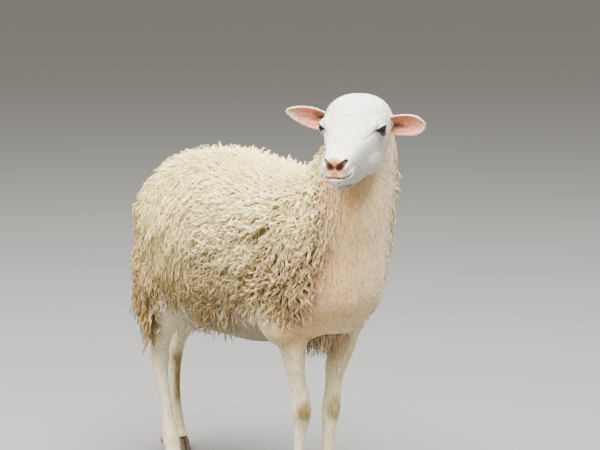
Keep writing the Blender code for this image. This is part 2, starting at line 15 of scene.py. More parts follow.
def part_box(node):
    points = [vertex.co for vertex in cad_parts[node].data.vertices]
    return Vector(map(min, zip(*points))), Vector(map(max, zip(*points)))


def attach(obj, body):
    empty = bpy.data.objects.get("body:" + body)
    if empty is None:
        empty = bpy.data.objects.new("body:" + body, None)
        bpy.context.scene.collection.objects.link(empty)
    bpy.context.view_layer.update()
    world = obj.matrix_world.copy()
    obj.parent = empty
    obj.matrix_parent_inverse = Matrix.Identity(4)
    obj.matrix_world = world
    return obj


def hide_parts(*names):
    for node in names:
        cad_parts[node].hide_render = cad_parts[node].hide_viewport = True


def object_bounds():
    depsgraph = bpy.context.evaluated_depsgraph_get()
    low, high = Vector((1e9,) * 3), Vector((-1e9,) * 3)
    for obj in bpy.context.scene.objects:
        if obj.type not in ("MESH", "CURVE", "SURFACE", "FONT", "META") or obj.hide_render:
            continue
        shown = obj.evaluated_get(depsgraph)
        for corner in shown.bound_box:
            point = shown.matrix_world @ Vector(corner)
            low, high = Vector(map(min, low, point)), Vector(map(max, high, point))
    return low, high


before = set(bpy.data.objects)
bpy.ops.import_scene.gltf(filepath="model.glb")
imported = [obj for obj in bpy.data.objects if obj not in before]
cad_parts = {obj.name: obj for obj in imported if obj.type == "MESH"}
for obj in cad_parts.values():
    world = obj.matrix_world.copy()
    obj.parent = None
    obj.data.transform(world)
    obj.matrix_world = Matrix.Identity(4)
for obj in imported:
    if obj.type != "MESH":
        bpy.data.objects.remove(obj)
cad_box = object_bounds()

# ---- the camera ----------------------------------------------------------------------
# It stands at a grown person's chest height, four metres off the right shoulder, and
# looks a little down through a long lens, level from side to side.
CAMERA_AT = (3.3898, -2.2030, 1.1000)
CAMERA_TURN, CAMERA_DIP, CAMERA_LENS = 56.0, 8.1, 129.0
camera = bpy.data.objects.new("camera", bpy.data.cameras.new("camera"))
camera.data.lens, camera.data.sensor_width = CAMERA_LENS, 36.0
camera.data.clip_end = 300.0
camera.location = CAMERA_AT
camera.rotation_euler = (math.radians(90 - CAMERA_DIP), 0.0, math.radians(CAMERA_TURN))
bpy.context.scene.collection.objects.link(camera)
bpy.context.scene.camera = camera

# ---- the hide: its form --------------------------------------------------------------
# One skin over trunk, neck, head and legs, lofted through the same sections as the solids
# but thinner by the depth of the hair, and by a finger's width under the fleece.  The lofts
# are fused on a fine grid, so no seam is left between them.
SHIFT = Vector((-0.0672, 0.0, 0.0))      # from the sections' own origin to the frame's
GRID = 0.0018                            # of the fusing
HAIR_DEPTH, WOOL_DEPTH, NECK_WOOL = 0.0016, 0.0160, 0.0090
HEAD_AT = Vector((0.3600, 0.0200, 0.7430))  # middle of the skull
HEAD_TURN, HEAD_NOD, HEAD_ROLL = -48.8, 8.7, -0.8
EYE_AT, EYE_RADIUS, EYE_TILT = Vector((0.0772, 0.0452, 0.0075)), 0.0148, 6.0
JAW_PINCH = 0.20                        # how far the skull narrows towards the jaw
RING = 40
# x, height of the middle, half width, rise, drop
TRUNK = [
    (-0.285, 0.500, 0.055, 0.045, 0.080), (-0.250, 0.495, 0.085, 0.088, 0.120),
    (-0.190, 0.470, 0.102, 0.145, 0.160), (-0.100, 0.455, 0.110, 0.172, 0.157),
    (0.000, 0.455, 0.112, 0.175, 0.157), (0.090, 0.455, 0.108, 0.167, 0.153),
    (0.180, 0.465, 0.102, 0.153, 0.136), (0.260, 0.462, 0.097, 0.130, 0.120),
    (0.330, 0.455, 0.078, 0.095, 0.098), (0.375, 0.445, 0.045, 0.060, 0.065)]
FLEECE = [
    (-0.305, 0.460, 0.055, 0.100, 0.125), (-0.275, 0.465, 0.086, 0.124, 0.150),
    (-0.220, 0.470, 0.113, 0.154, 0.155), (-0.150, 0.475, 0.132, 0.180, 0.156),
    (-0.050, 0.480, 0.145, 0.183, 0.155), (0.050, 0.480, 0.144, 0.175, 0.152),
    (0.140, 0.482, 0.138, 0.165, 0.140), (0.205, 0.485, 0.129, 0.160, 0.121),
    (0.262, 0.490, 0.117, 0.150, 0.106), (0.310, 0.495, 0.097, 0.110, 0.075)]
# middle, half depth, half width
NECK = [
    ((0.275, 0.000, 0.440), 0.125, 0.111), ((0.291, 0.000, 0.500), 0.110, 0.112),
    ((0.311, 0.006, 0.560), 0.096, 0.101), ((0.321, 0.018, 0.610), 0.077, 0.090),
    ((0.323, 0.033, 0.660), 0.057, 0.083), ((0.326, 0.040, 0.700), 0.049, 0.074),
    ((0.336, 0.035, 0.735), 0.046, 0.061), ((0.352, 0.027, 0.762), 0.036, 0.043)]
# in the head's own frame: x, middle, half width, rise, drop, squareness
HEAD = [
    (-0.030, 0.000, 0.034, 0.026, 0.040, 2.0), (-0.012, 0.004, 0.052, 0.042, 0.056, 2.0),
    (0.015, 0.004, 0.0600, 0.053, 0.073, 2.3), (0.045, 0.001, 0.0620, 0.054, 0.080, 2.5),
    (0.075, -0.003, 0.0545, 0.047, 0.083, 2.5), (0.100, -0.009, 0.0465, 0.039, 0.078, 2.4),
    (0.125, -0.015, 0.0380, 0.031, 0.069, 2.3), (0.150, -0.020, 0.0315, 0.025, 0.057, 2.3),
    (0.175, -0.025, 0.0272, 0.0215, 0.0465, 2.3), (0.196, -0.028, 0.0250, 0.0215, 0.0395, 2.4),
    (0.2062, -0.030, 0.0236, 0.0195, 0.0335, 2.5), (0.2138, -0.031, 0.0184, 0.0155, 0.0270, 2.4)]
LEGS = {
    "front_right": [
        ((0.232, -0.060, 0.440), 0.066, 0.038), ((0.246, -0.058, 0.350), 0.040, 0.0245),
        ((0.250, -0.056, 0.325), 0.033, 0.0215), ((0.252, -0.053, 0.290), 0.0245, 0.0165),
        ((0.251, -0.047, 0.262), 0.0195, 0.0147), ((0.250, -0.040, 0.235), 0.0190, 0.0172),
        ((0.249, -0.0365, 0.206), 0.0215, 0.0190), ((0.247, -0.0345, 0.181), 0.0165, 0.0145),
        ((0.244, -0.0360, 0.163), 0.0122, 0.0108), ((0.241, -0.035, 0.130), 0.0116, 0.0104),
        ((0.239, -0.034, 0.095), 0.0114, 0.0106), ((0.240, -0.033, 0.066), 0.0165, 0.0172),
        ((0.249, -0.033, 0.044), 0.0132, 0.0160), ((0.258, -0.033, 0.026), 0.0150, 0.0175)],
    "front_left": [
        ((0.232, 0.060, 0.440), 0.066, 0.038), ((0.246, 0.062, 0.350), 0.038, 0.0240),
        ((0.250, 0.053, 0.313), 0.031, 0.0200), ((0.250, 0.0410, 0.282), 0.0262, 0.0180),
        ((0.250, 0.0370, 0.262), 0.0208, 0.0155), ((0.249, 0.0342, 0.233), 0.0178, 0.0148),
        ((0.248, 0.0320, 0.205), 0.0202, 0.0170), ((0.247, 0.0298, 0.181), 0.0180, 0.0152),
        ((0.247, 0.0265, 0.157), 0.0140, 0.0125), ((0.247, 0.0255, 0.124), 0.0122, 0.0116),
        ((0.248, 0.0252, 0.093), 0.0116, 0.0112), ((0.250, 0.025, 0.066), 0.0165, 0.0172),
        ((0.259, 0.025, 0.044), 0.0132, 0.0160), ((0.268, 0.025, 0.026), 0.0150, 0.0175)],
    "hind_right": [
        ((-0.188, -0.056, 0.475), 0.082, 0.044), ((-0.182, -0.069, 0.390), 0.078, 0.046),
        ((-0.178, -0.069, 0.335), 0.049, 0.031), ((-0.199, -0.064, 0.288), 0.0262, 0.0185),
        ((-0.213, -0.061, 0.252), 0.0178, 0.0150), ((-0.223, -0.060, 0.226), 0.0215, 0.0165),
        ((-0.220, -0.060, 0.192), 0.0162, 0.0142), ((-0.210, -0.058, 0.150), 0.0132, 0.0122),
        ((-0.199, -0.056, 0.100), 0.0132, 0.0135), ((-0.192, -0.055, 0.066), 0.0175, 0.0182),
        ((-0.184, -0.055, 0.044), 0.0142, 0.0170), ((-0.176, -0.055, 0.026), 0.0155, 0.0180)],
    "hind_left": [
        ((-0.196, 0.056, 0.475), 0.082, 0.044), ((-0.205, 0.067, 0.390), 0.080, 0.046),
        ((-0.222, 0.066, 0.335), 0.052, 0.032), ((-0.294, 0.056, 0.283), 0.0235, 0.0172),
        ((-0.323, 0.050, 0.243), 0.0160, 0.0135), ((-0.339, 0.044, 0.214), 0.0212, 0.0165),
        ((-0.340, 0.043, 0.182), 0.0160, 0.0138), ((-0.338, 0.042, 0.145), 0.0125, 0.0116),
        ((-0.336, 0.042, 0.100), 0.0120, 0.0122), ((-0.334, 0.041, 0.064), 0.0165, 0.0172),
        ((-0.325, 0.041, 0.043), 0.0142, 0.0168), ((-0.317, 0.041, 0.026), 0.0155, 0.0180)]}
TAIL = [
    ((-0.250, 0.0, 0.570), 0.016, 0.018), ((-0.282, 0.0, 0.552), 0.017, 0.018),
    ((-0.305, 0.0, 0.515), 0.015, 0.019), ((-0.315, 0.0, 0.465), 0.012, 0.019),
    ((-0.317, 0.0, 0.420), 0.010, 0.016), ((-0.316, 0.0, 0.392), 0.007, 0.010)]

HEAD_FRAME = Matrix.Translation(HEAD_AT) @ Euler(
    (math.radians(HEAD_ROLL), math.radians(HEAD_NOD), math.radians(HEAD_TURN))).to_matrix().to_4x4()


def ring(middle, side, up, half, high, low, square=2.0, pinch=0.0):
    """The points of one section: a rounded figure, narrowed below by the pinch."""
    points = []
    for i in range(RING):
        turn = 2 * math.pi * i / RING
        c, s = math.cos(turn), math.sin(turn)
        u = math.copysign(abs(c) ** (2 / square), c) * half * (1 + pinch * min(s, 0.0))
        v = math.copysign(abs(s) ** (2 / square), s) * (high if s > 0 else low)
        points.append(Vector(middle) + side * u + up * v)
    return points


def loft(bm, rings):
    """A closed body through a row of sections."""
    loops = []
    for points in rings:
        made = bmesh.ops.create_circle(bm, segments=len(points), radius=1.0)["verts"]
        for vert, point in zip(made, points):
            vert.co = point
        loops.append(list(dict.fromkeys(edge for vert in made for edge in vert.link_edges)))
    for one, other in zip(loops, loops[1:]):
        bmesh.ops.bridge_loops(bm, edges=one + other)
    for end in (loops[0], loops[-1]):
        bmesh.ops.edgeloop_fill(bm, edges=end)


def smooth_path(rows, steps=4):
    """Rows of numbers, made denser by a smooth curve through them."""
    table = np.array([np.hstack([np.ravel(v) for v in row]) for row in rows], float)
    dense = []
    for k in range(len(table) - 1):
        p1, p2 = table[k], table[k + 1]
        p0 = table[k - 1] if k else 2 * p1 - p2
        p3 = table[k + 2] if k + 2 < len(table) else 2 * p2 - p1
        for s in range(steps):
            t = s / steps
            dense.append(0.5 * (2 * p1 + (p2 - p0) * t + (2 * p0 - 5 * p1 + 4 * p2 - p3) * t * t
                                + (3 * p1 - p0 - 3 * p2 + p3) * t ** 3))
    dense.append(table[-1])
    return dense


def lengthwise(bm, rows, depth, square=2.2):
    """A body of upright sections along X, thinner all round by the coat's depth."""
    middle = (rows[0][0] + rows[-1][0]) / 2
    shorter = 1 - depth / (rows[-1][0] - middle)
    loft(bm, [ring((middle + (x - middle) * shorter, 0, z), Vector((0, 1, 0)), Vector((0, 0, 1)),
                   w - depth, hi - depth, lo - depth, square)
              for x, z, w, hi, lo in smooth_path(rows)])


def limb(bm, rows, depth):
    """A body along a bent path, its sections square to it."""
    path = smooth_path(rows)
    rings = []
    for k, (x, y, z, deep, wide) in enumerate(path):
        along = Vector(path[min(k + 1, len(path) - 1)][:3]) - Vector(path[max(k - 1, 0)][:3])
        fore = Vector((0, 1, 0)).cross(along).normalized()
        side = along.cross(fore).normalized()
        rings.append(ring((x, y, z), side, fore, wide - depth, deep - depth, deep - depth, 2.1))
    loft(bm, rings)


def ball(bm, middle, size, turn=(0, 0, 0), place=Matrix()):
    """An ellipsoid."""
    tilted = Euler([math.radians(a) for a in turn]).to_matrix().to_4x4()
    matrix = place @ Matrix.Translation(middle) @ tilted @ Matrix.Diagonal((*size, 1.0))
    bmesh.ops.create_uvsphere(bm, u_segments=24, v_segments=14, radius=1.0, matrix=matrix)


def soften_net(bm, verts, factor):
    """Draws points towards the middle of their neighbours."""
    bmesh.ops.smooth_vert(bm, verts=verts, factor=factor, use_axis_x=True, use_axis_y=True,
                          use_axis_z=True)


def mesh_from(bm, name):
    """The net as a mesh; the net itself is let go."""
    mesh = bpy.data.meshes.new(name)
    bm.to_mesh(mesh)
    bm.free()
    return mesh


def new_piece(name, mesh):
    """An object at the origin for a mesh that holds its own place."""
    piece = bpy.data.objects.new(name, mesh)
    bpy.context.scene.collection.objects.link(piece)
    return piece


def finish_modifiers(piece):
    """Every modifier of the piece made real."""
    graph = bpy.context.evaluated_depsgraph_get()
    mesh = bpy.data.meshes.new_from_object(piece.evaluated_get(graph))
    piece.modifiers.clear()
    stale, piece.data = piece.data, mesh
    bpy.data.meshes.remove(stale)


bm = bmesh.new()
lengthwise(bm, TRUNK, HAIR_DEPTH)
lengthwise(bm, FLEECE, WOOL_DEPTH, 2.35)
limb(bm, [((x + 0.004, y, z - 0.001), deep - 0.006, wide - NECK_WOOL)
          for (x, y, z), deep, wide in NECK], 0.0)
limb(bm, TAIL, 0.0)
ball(bm, (-0.235, 0.0, 0.500), (0.078, 0.090, 0.092))
ball(bm, (0.328, 0.0, 0.440), (0.080, 0.088, 0.082))
head_rings = []
for x, z, w, hi, lo, square in smooth_path(HEAD, 5):
    section = ring((x, 0, z), Vector((0, 1, 0)), Vector((0, 0, 1)),
                   w - HAIR_DEPTH, hi - HAIR_DEPTH, lo - HAIR_DEPTH, square, JAW_PINCH)
    head_rings.append([HEAD_FRAME @ p for p in section])
loft(bm, head_rings)
for side in (1, -1):
    ball(bm, (0.225, 0.064 * side, 0.430), (0.078, 0.044, 0.103), (8 * side, -12, 0))
    # brow, cheek, root of the ear and upper lip
    for middle, size in (((0.074, 0.0415 * side, 0.011), (0.027, 0.0118, 0.020)),
                         ((0.060, 0.0275 * side, -0.038), (0.060, 0.0222, 0.039)),
                         ((0.024, 0.0510 * side, 0.008), (0.018, 0.0130, 0.017)),
                         ((0.184, 0.0150 * side, -0.041), (0.024, 0.0105, 0.017))):
        ball(bm, middle, size, place=HEAD_FRAME)
for name, rows in LEGS.items():
    limb(bm, rows, 0.0012)
    if name.startswith("hind"):
        hock = Vector(rows[5][0])
        limb(bm, [(tuple(Vector(rows[3][0]) + Vector((-0.016, 0, 0.010))), 0.008, 0.006),
                  (tuple(hock + Vector((-0.020, 0, 0.030))), 0.0112, 0.0052),
                  (tuple(hock + Vector((-0.025, 0, 0.008))), 0.0100, 0.0095),
                  (tuple(hock + Vector((-0.013, 0, -0.030))), 0.0085, 0.0085)], 0.0)
bmesh.ops.recalc_face_normals(bm, faces=bm.faces[:])
hide = new_piece("hide", mesh_from(bm, "hide"))
grid = hide.modifiers.new("fuse", "REMESH")
grid.mode, grid.voxel_size, grid.adaptivity = "VOXEL", GRID, 0.0
finish_modifiers(hide)


def rows_of(items, field):
    """One vector of every item, as rows of an array."""
    found = np.empty(len(items) * 3, np.float32)
    items.foreach_get(field, found)
    return found.reshape(-1, 3).astype(float)


TO_HEAD, HEAD_AXES = np.array(HEAD_FRAME.inverted()), np.array(HEAD_FRAME)[:3, :3]


def in_head(points):
    """Points of the sections' frame, seen in the head's own frame."""
    return points @ TO_HEAD[:3, :3].T + TO_HEAD[:3, 3]


def ease(low, high, value):
    """A smooth step from 0 at low to 1 at high."""
    t = np.clip((value - low) / (high - low), 0, 1)
    return t * t * (3 - 2 * t)


def weigh(name, weights, digits):
    """A vertex group of the hide that holds these weights, rounded."""
    group = hide.vertex_groups.new(name=name)
    steps = np.round(weights, digits)
    for value in np.unique(steps):
        group.add(np.nonzero(steps == value)[0].tolist(), float(value), "REPLACE")


def bell(off, width):
    """A smooth hump: 1 in its middle, nearly 0 two widths off."""
    return np.exp(-(off / width) ** 2)


# the joints of the lofts are eased, less on the face than on the body
own = rows_of(hide.data.vertices, "co")
local = in_head(own)
weigh("soft", 0.25 + 0.75 * (1 - ease(0.0, 0.03, local[:, 0] + 0.01)), 1)
soften = hide.modifiers.new("soften", "SMOOTH")
SEAM_EASING, CHEST_EASING = 22, 9        # rounds of each
soften.factor, soften.iterations, soften.vertex_group = 0.5, SEAM_EASING, "soft"
# then the net is thinned out, least on the face and the legs
fewer = hide.modifiers.new("fewer", "DECIMATE")
face_part = ease(-0.01, 0.02, local[:, 0]) * (local[:, 2] > -0.095) * (own[:, 2] > 0.62)
leg_part = (own[:, 2] < 0.29).astype(float)
weigh("coarse", np.clip(1.0 - 0.96 * face_part - 0.45 * leg_part, 0.04, 1.0), 2)
HIDE_FACES = 120000
fewer.ratio, fewer.vertex_group, fewer.vertex_group_factor = (
    HIDE_FACES / (2 * len(own)), "coarse", 1.0)
fewer.use_collapse_triangulate = True
finish_modifiers(hide)

bm = bmesh.new()
bm.from_mesh(hide.data)
# neck, shoulders and brisket run into one another without a crease
chest = [vert for vert in bm.verts if vert.co.x > 0.23 and 0.36 < vert.co.z < 0.54]
for _ in range(CHEST_EASING):
    soften_net(bm, chest, 0.5)
EYES = [Vector((EYE_AT.x, EYE_AT.y * side, EYE_AT.z)) for side in (1, -1)]
to_head = HEAD_FRAME.inverted()
TEAR_START, TEAR_END = Vector((0.0930, 0.0490, 0.0095)), Vector((0.1215, 0.0345, 0.0000))
# lids, nostrils, lips and the groove below the eye get a finer net, in three rounds: within
# this reach of the eyes, in front of this place on the muzzle, and this near the groove
FINEST_EDGE = 0.0011
for reach, front, beside in ((0.024, 0.168, 0.007), (0.019, 0.192, 0.005), (0.0, 1.0, 0.004)):
    close = set()
    for vert in bm.verts:
        p = to_head @ vert.co
        mirrored = Vector((p.x, abs(p.y), p.z))
        nearest, along = geometry.intersect_point_line(mirrored, TEAR_START, TEAR_END)
        off = (nearest - mirrored).length if -0.1 < along < 1.1 else 1.0
        if (min((p - eye).length for eye in EYES) < reach or off < beside
                or (p.x > front and p.z > -0.09)):
            close.add(vert)
    edges = [e for e in bm.edges if e.verts[0] in close and e.verts[1] in close
             and e.calc_length() > FINEST_EDGE]
    bmesh.ops.subdivide_edges(bm, edges=edges, cuts=1, use_grid_fill=True)
    bmesh.ops.triangulate(bm, faces=[f for f in bm.faces if len(f.verts) > 3])
fine = [v for v in bm.verts if (to_head @ v.co - Vector((0.13, 0, 0))).length < 0.11]
soften_net(bm, fine, 0.5)
bm.to_mesh(hide.data)
bm.free()

# ---- the hide: face ------------------------------------------------------------------
# Lids close round the eyeballs; the nose has comma nostrils with raised wings, a cleft
# upper lip and a mouth line that runs back to the corners.
own = rows_of(hide.data.vertices, "co")
local = in_head(own)
# dark marks for the hide: the lids' dark rims, and painted shade in the nostrils, along the mouth line
# and in the groove below the eye
lid_edge = np.zeros(len(own))
nose_dark = np.zeros(len(own))
mouth_dark = np.zeros(len(own))
crease = np.zeros(len(own))


def eye_axes(side):
    """Gaze, way to the inner corner and way up of one eye, in the head's frame."""
    gaze = Vector((0.63, 0.77 * side, 0.05)).normalized()
    up = (Vector((0, 0, 1)) - gaze * gaze.z).normalized()
    inner = up.cross(gaze) * side
    tilt = math.radians(EYE_TILT)
    c, s = math.cos(tilt), math.sin(tilt)
    return gaze, inner * c - up * s, up * c + inner * s


def beside_line(points, start, end):
    """The share of a line that points have passed, from 0 to 1, and how far off it they lie."""
    way = end - start
    t = np.clip((points - start) @ way / (way @ way), 0, 1)
    return t, np.linalg.norm(points - start - t[:, None] * way, axis=1)


OPEN_LONG, OPEN_HIGH, OPEN_LOW, LID = 0.0112, 0.0046, 0.0040, 0.0015
for side, eye in zip((1, -1), EYES):
    gaze, inner, up = (np.array(v) for v in eye_axes(side))
    offset = local - np.array(eye)
    a, b, c = offset @ inner - 0.0016, offset @ up + 0.0006, offset @ gaze
    reach = np.linalg.norm(offset, axis=1) + 1e-9
    flat = np.hypot(a, b)
    near = (c > 0) & (flat < 0.026)
    arch = np.clip(1 - (a / OPEN_LONG) ** 2, 0, 1)
    limit = np.where(b > 0, OPEN_HIGH * arch ** 0.50, OPEN_LOW * arch ** 0.80)
    gap = np.where(np.abs(a) < OPEN_LONG, np.abs(b) - limit, np.hypot(np.abs(a) - OPEN_LONG, b))
    over = EYE_RADIUS + LID
    wrap = 1 - ease(0.0125, 0.0215, flat)
    goal = reach * (1 - wrap) + over * wrap
    # rolled edge of the lid, the fold and the swelling above it, and the fold below
    goal += 0.0010 * bell(gap - 0.0012, 0.0011)
    goal -= 0.0013 * bell(gap - 0.0050, 0.0016) * (b > 0)
    goal += 0.0012 * bell(gap - 0.0095, 0.0030) * (b > 0)
    goal -= 0.0007 * bell(gap - 0.0048, 0.0016) * (b < 0)
    inside = 1 - ease(-0.0010, 0.0002, gap)
    goal = goal * (1 - inside) + (EYE_RADIUS - 0.0030) * inside
    move = np.where(near, goal / reach, 1.0)[:, None]
    local = np.array(eye) + offset * move
    lid_edge = np.maximum(lid_edge, near * bell(np.maximum(gap - 0.0008, 0), 0.0011))
    # the groove that runs from the inner corner down the face
    t, off = beside_line(local, np.array(TEAR_START) * (1, side, 1), np.array(TEAR_END) * (1, side, 1))
    groove = bell(off, 0.0025) * (1 - 0.60 * t)
    local[:, 1] -= side * 0.0028 * groove
    # the groove gets painted shade
    crease = np.maximum(crease, groove)

# along each nostril from its inner end: where it is cut, beside the muzzle's tip
NOSTRIL = [(0.2145, 0.0080, -0.0290), (0.2132, 0.0122, -0.0243), (0.2090, 0.0168, -0.0202),
           (0.2030, 0.0203, -0.0178)]
for side in (1, -1):
    nearest = np.full(len(local), 1.0)
    along = np.zeros(len(local))
    curve = [np.array(Vector((x, y * side, z))) for x, y, z in NOSTRIL]
    for k, (p, q) in enumerate(zip(curve, curve[1:])):
        t, off = beside_line(local, p, q)
        along = np.where(off < nearest, (k + t) / (len(curve) - 1), along)
        nearest = np.minimum(nearest, off)
    width = 0.0068 - 0.0030 * along
    slit = 1 - ease(0.55, 1.25, nearest / width)
    wing = bell(nearest - 0.0078, 0.0026)
    local[:, 0] -= slit * 0.0095 * (1 - 0.35 * along)
    local[:, 1] -= slit * side * 0.0022 * along
    push = np.array((0.45, 0.8 * side, 0.25)) * 0.0013
    local += push * (wing * ease(0.15, 0.7, along))[:, None]
    # painted shade inside the nostrils
    nose_dark = np.maximum(nose_dark, slit)
mouth_z = -0.0462 + 0.0165 * np.clip((0.207 - local[:, 0]) / 0.060, 0, 1) ** 1.3
front = ease(0.141, 0.151, local[:, 0])
off_line = local[:, 2] - mouth_z
line = bell(off_line, 0.0018) * front
lips = bell(np.abs(off_line) - 0.0042, 0.0026) * front
toward = np.array((0.165, 0.0, -0.046)) - local
toward /= np.linalg.norm(toward, axis=1)[:, None] + 1e-9
near = (local[:, 0] > 0.15) & (local[:, 2] > -0.09)
local += toward * (near * (0.0040 * line - 0.0009 * lips))[:, None]
# painted shade along the mouth line
mouth_dark = near * bell(local[:, 2] - mouth_z, 0.0011) * front
cleft = bell(local[:, 1], 0.0014) * (1 - ease(0.005, 0.013, np.abs(local[:, 2] + 0.040)))
local[:, 0] -= 0.0020 * cleft * (local[:, 0] > 0.20)
own = local @ HEAD_AXES.T + np.array(HEAD_FRAME)[:3, 3]
hide.data.vertices.foreach_set("co", own.astype(np.float32).ravel())
hide.data.update()


# ears: a cupped leaf each, open to the front, joined to the hide
EAR_LENGTH, EAR_WIDTH, EAR_WALL = 0.0855, 0.0475, 0.0030
# side, length's share, lift, sweep and twist in degrees, bluntness of the tip
EARS = {"left": (1, 0.92, 5, 14, 6, 3.2), "right": (-1, 1.0, 15, 10, -4, 1.45)}


def ear_place(side, lift, sweep, twist):
    """Stands an ear on the skull: length to the side, hollow to the front."""
    base = Matrix(((0, 0, 1, 0), (side, 0, 0, 0), (0, side, 0, 0), (0, 0, 0, 1)))
    turn = (Matrix.Rotation(math.radians(-sweep * side), 4, "Z")
            @ Matrix.Rotation(math.radians(lift * side), 4, "X")
            @ base @ Matrix.Rotation(math.radians(twist), 4, "X"))
    return HEAD_FRAME @ Matrix.Translation((0.026, 0.048 * side, 0.004)) @ turn


def ear_width(t, blunt):
    """How wide the leaf is at each share of its length; a blunt one is wide almost to its tip."""
    return EAR_WIDTH * np.minimum(0.90 + 0.26 * t, 1) * np.clip(
        1 - np.clip((t - 0.42) / 0.59, 0, 1) ** blunt, 0, 1) ** 0.62


def ear_leaf(bm, side, longer, lift, sweep, twist, blunt):
    """The sheet of one ear, thickened to a wall of hide and gristle."""
    made = bmesh.ops.create_grid(bm, x_segments=34, y_segments=22, size=0.5)["verts"]
    place = ear_place(side, lift, sweep, twist)
    length = EAR_LENGTH * longer
    for vert in made:
        t = vert.co.x + 0.5
        s = vert.co.y * 2
        bend = math.radians(155 - 85 * t)
        radius = ear_width(t, blunt) / bend
        turn = bend * s / 2
        fold = 0.0009 * math.cos(3 * math.pi * s) * math.sin(math.pi * min(t * 1.3, 1)) * (1 - abs(s))
        depth = radius - radius * math.cos(turn) - 0.006 * math.sin(math.pi * t) + fold
        vert.co = place @ Vector((length * (t * 1.06 - 0.06), radius * math.sin(turn), depth))
    faces = list(dict.fromkeys(face for vert in made for face in vert.link_faces))
    inward = place.to_3x3() @ Vector((0, 0, 1))
    if sum((face.normal for face in faces), Vector()).dot(inward) < 0:
        bmesh.ops.reverse_faces(bm, faces=faces)


bm = bmesh.new()
for side, longer, lift, sweep, twist, blunt in EARS.values():
    ear_leaf(bm, side, longer, lift, sweep, twist, blunt)
bm.normal_update()
bmesh.ops.solidify(bm, geom=bm.faces[:], thickness=EAR_WALL)
bmesh.ops.recalc_face_normals(bm, faces=bm.faces[:])
soften_net(bm, bm.verts[:], 0.4)
bmesh.ops.triangulate(bm, faces=bm.faces[:])
# faces in order along a slanting line give every run the same hair
SORT_LINE = Vector((1.0, 1.62, 2.72))
bm.faces.sort(key=lambda face: face.calc_center_median().dot(SORT_LINE))
ear_start = len(hide.data.vertices)
bm_hide = bmesh.new()
bm_hide.from_mesh(hide.data)
ear_mesh = mesh_from(bm, "ears")
bm_hide.from_mesh(ear_mesh)
bmesh.ops.translate(bm_hide, verts=bm_hide.verts[:], vec=SHIFT)
bm_hide.to_mesh(hide.data)
bm_hide.free()
bpy.data.meshes.remove(ear_mesh)
hide.data.shade_smooth()
hide.vertex_groups.clear()

# the hide is laid out flat once, so that every lock can be found by the place of its root
bpy.context.view_layer.objects.active = hide
hide.select_set(True)
bpy.ops.object.mode_set(mode="EDIT")
bpy.ops.mesh.select_all(action="SELECT")
bpy.ops.uv.smart_project(angle_limit=math.radians(66), island_margin=0.002)
bpy.ops.object.mode_set(mode="OBJECT")
hide.data.uv_layers[0].name = "OFBake"

# ---- markings ------------------------------------------------------------------------
# The same marks for hide, wool and hair, worked out from where a point lies: fleece, tan lower down
# from dirtier wool and painted shade, warm neck and chest, pink nose and ears, stained knees, and
# grime with painted shade under the chest and belly.
SHIFT_ROW = np.array(SHIFT)
# by height: where the neck's middle lies, and where the fleece ends and neck hair begins
NECK_AXIS = np.array([(0.440, 0.000), (0.560, 0.006), (0.610, 0.017), (0.660, 0.029),
                      (0.735, 0.037)])
FLEECE_FRONT = np.array([(0.30, 0.215), (0.36, 0.262), (0.40, 0.300), (0.44, 0.314), (0.47, 0.330),
                         (0.50, 0.356), (0.53, 0.370), (0.56, 0.370), (0.61, 0.354), (0.66, 0.334),
                         (0.70, 0.318), (0.75, 0.302)])
# along X: how high the fleece's lowest tips end
HEM = np.array([(-0.30, 0.268), (-0.190, 0.276), (-0.166, 0.325), (-0.135, 0.356), (-0.055, 0.364),
                (-0.028, 0.354), (0.020, 0.322), (0.060, 0.333), (0.110, 0.352), (0.145, 0.365),
                (0.215, 0.384), (0.245, 0.380), (0.290, 0.366), (0.345, 0.392), (0.40, 0.424)])
LOWEST_ROOT = 0.036                      # above the tips' end


def wander(points, size, seed=0.0):
    """Smooth noise from -1 to 1, with lumps of about that size."""
    return np.array([noise.noise(Vector((x / size + seed, y / size, z / size)))
                     for x, y, z in points.tolist()])


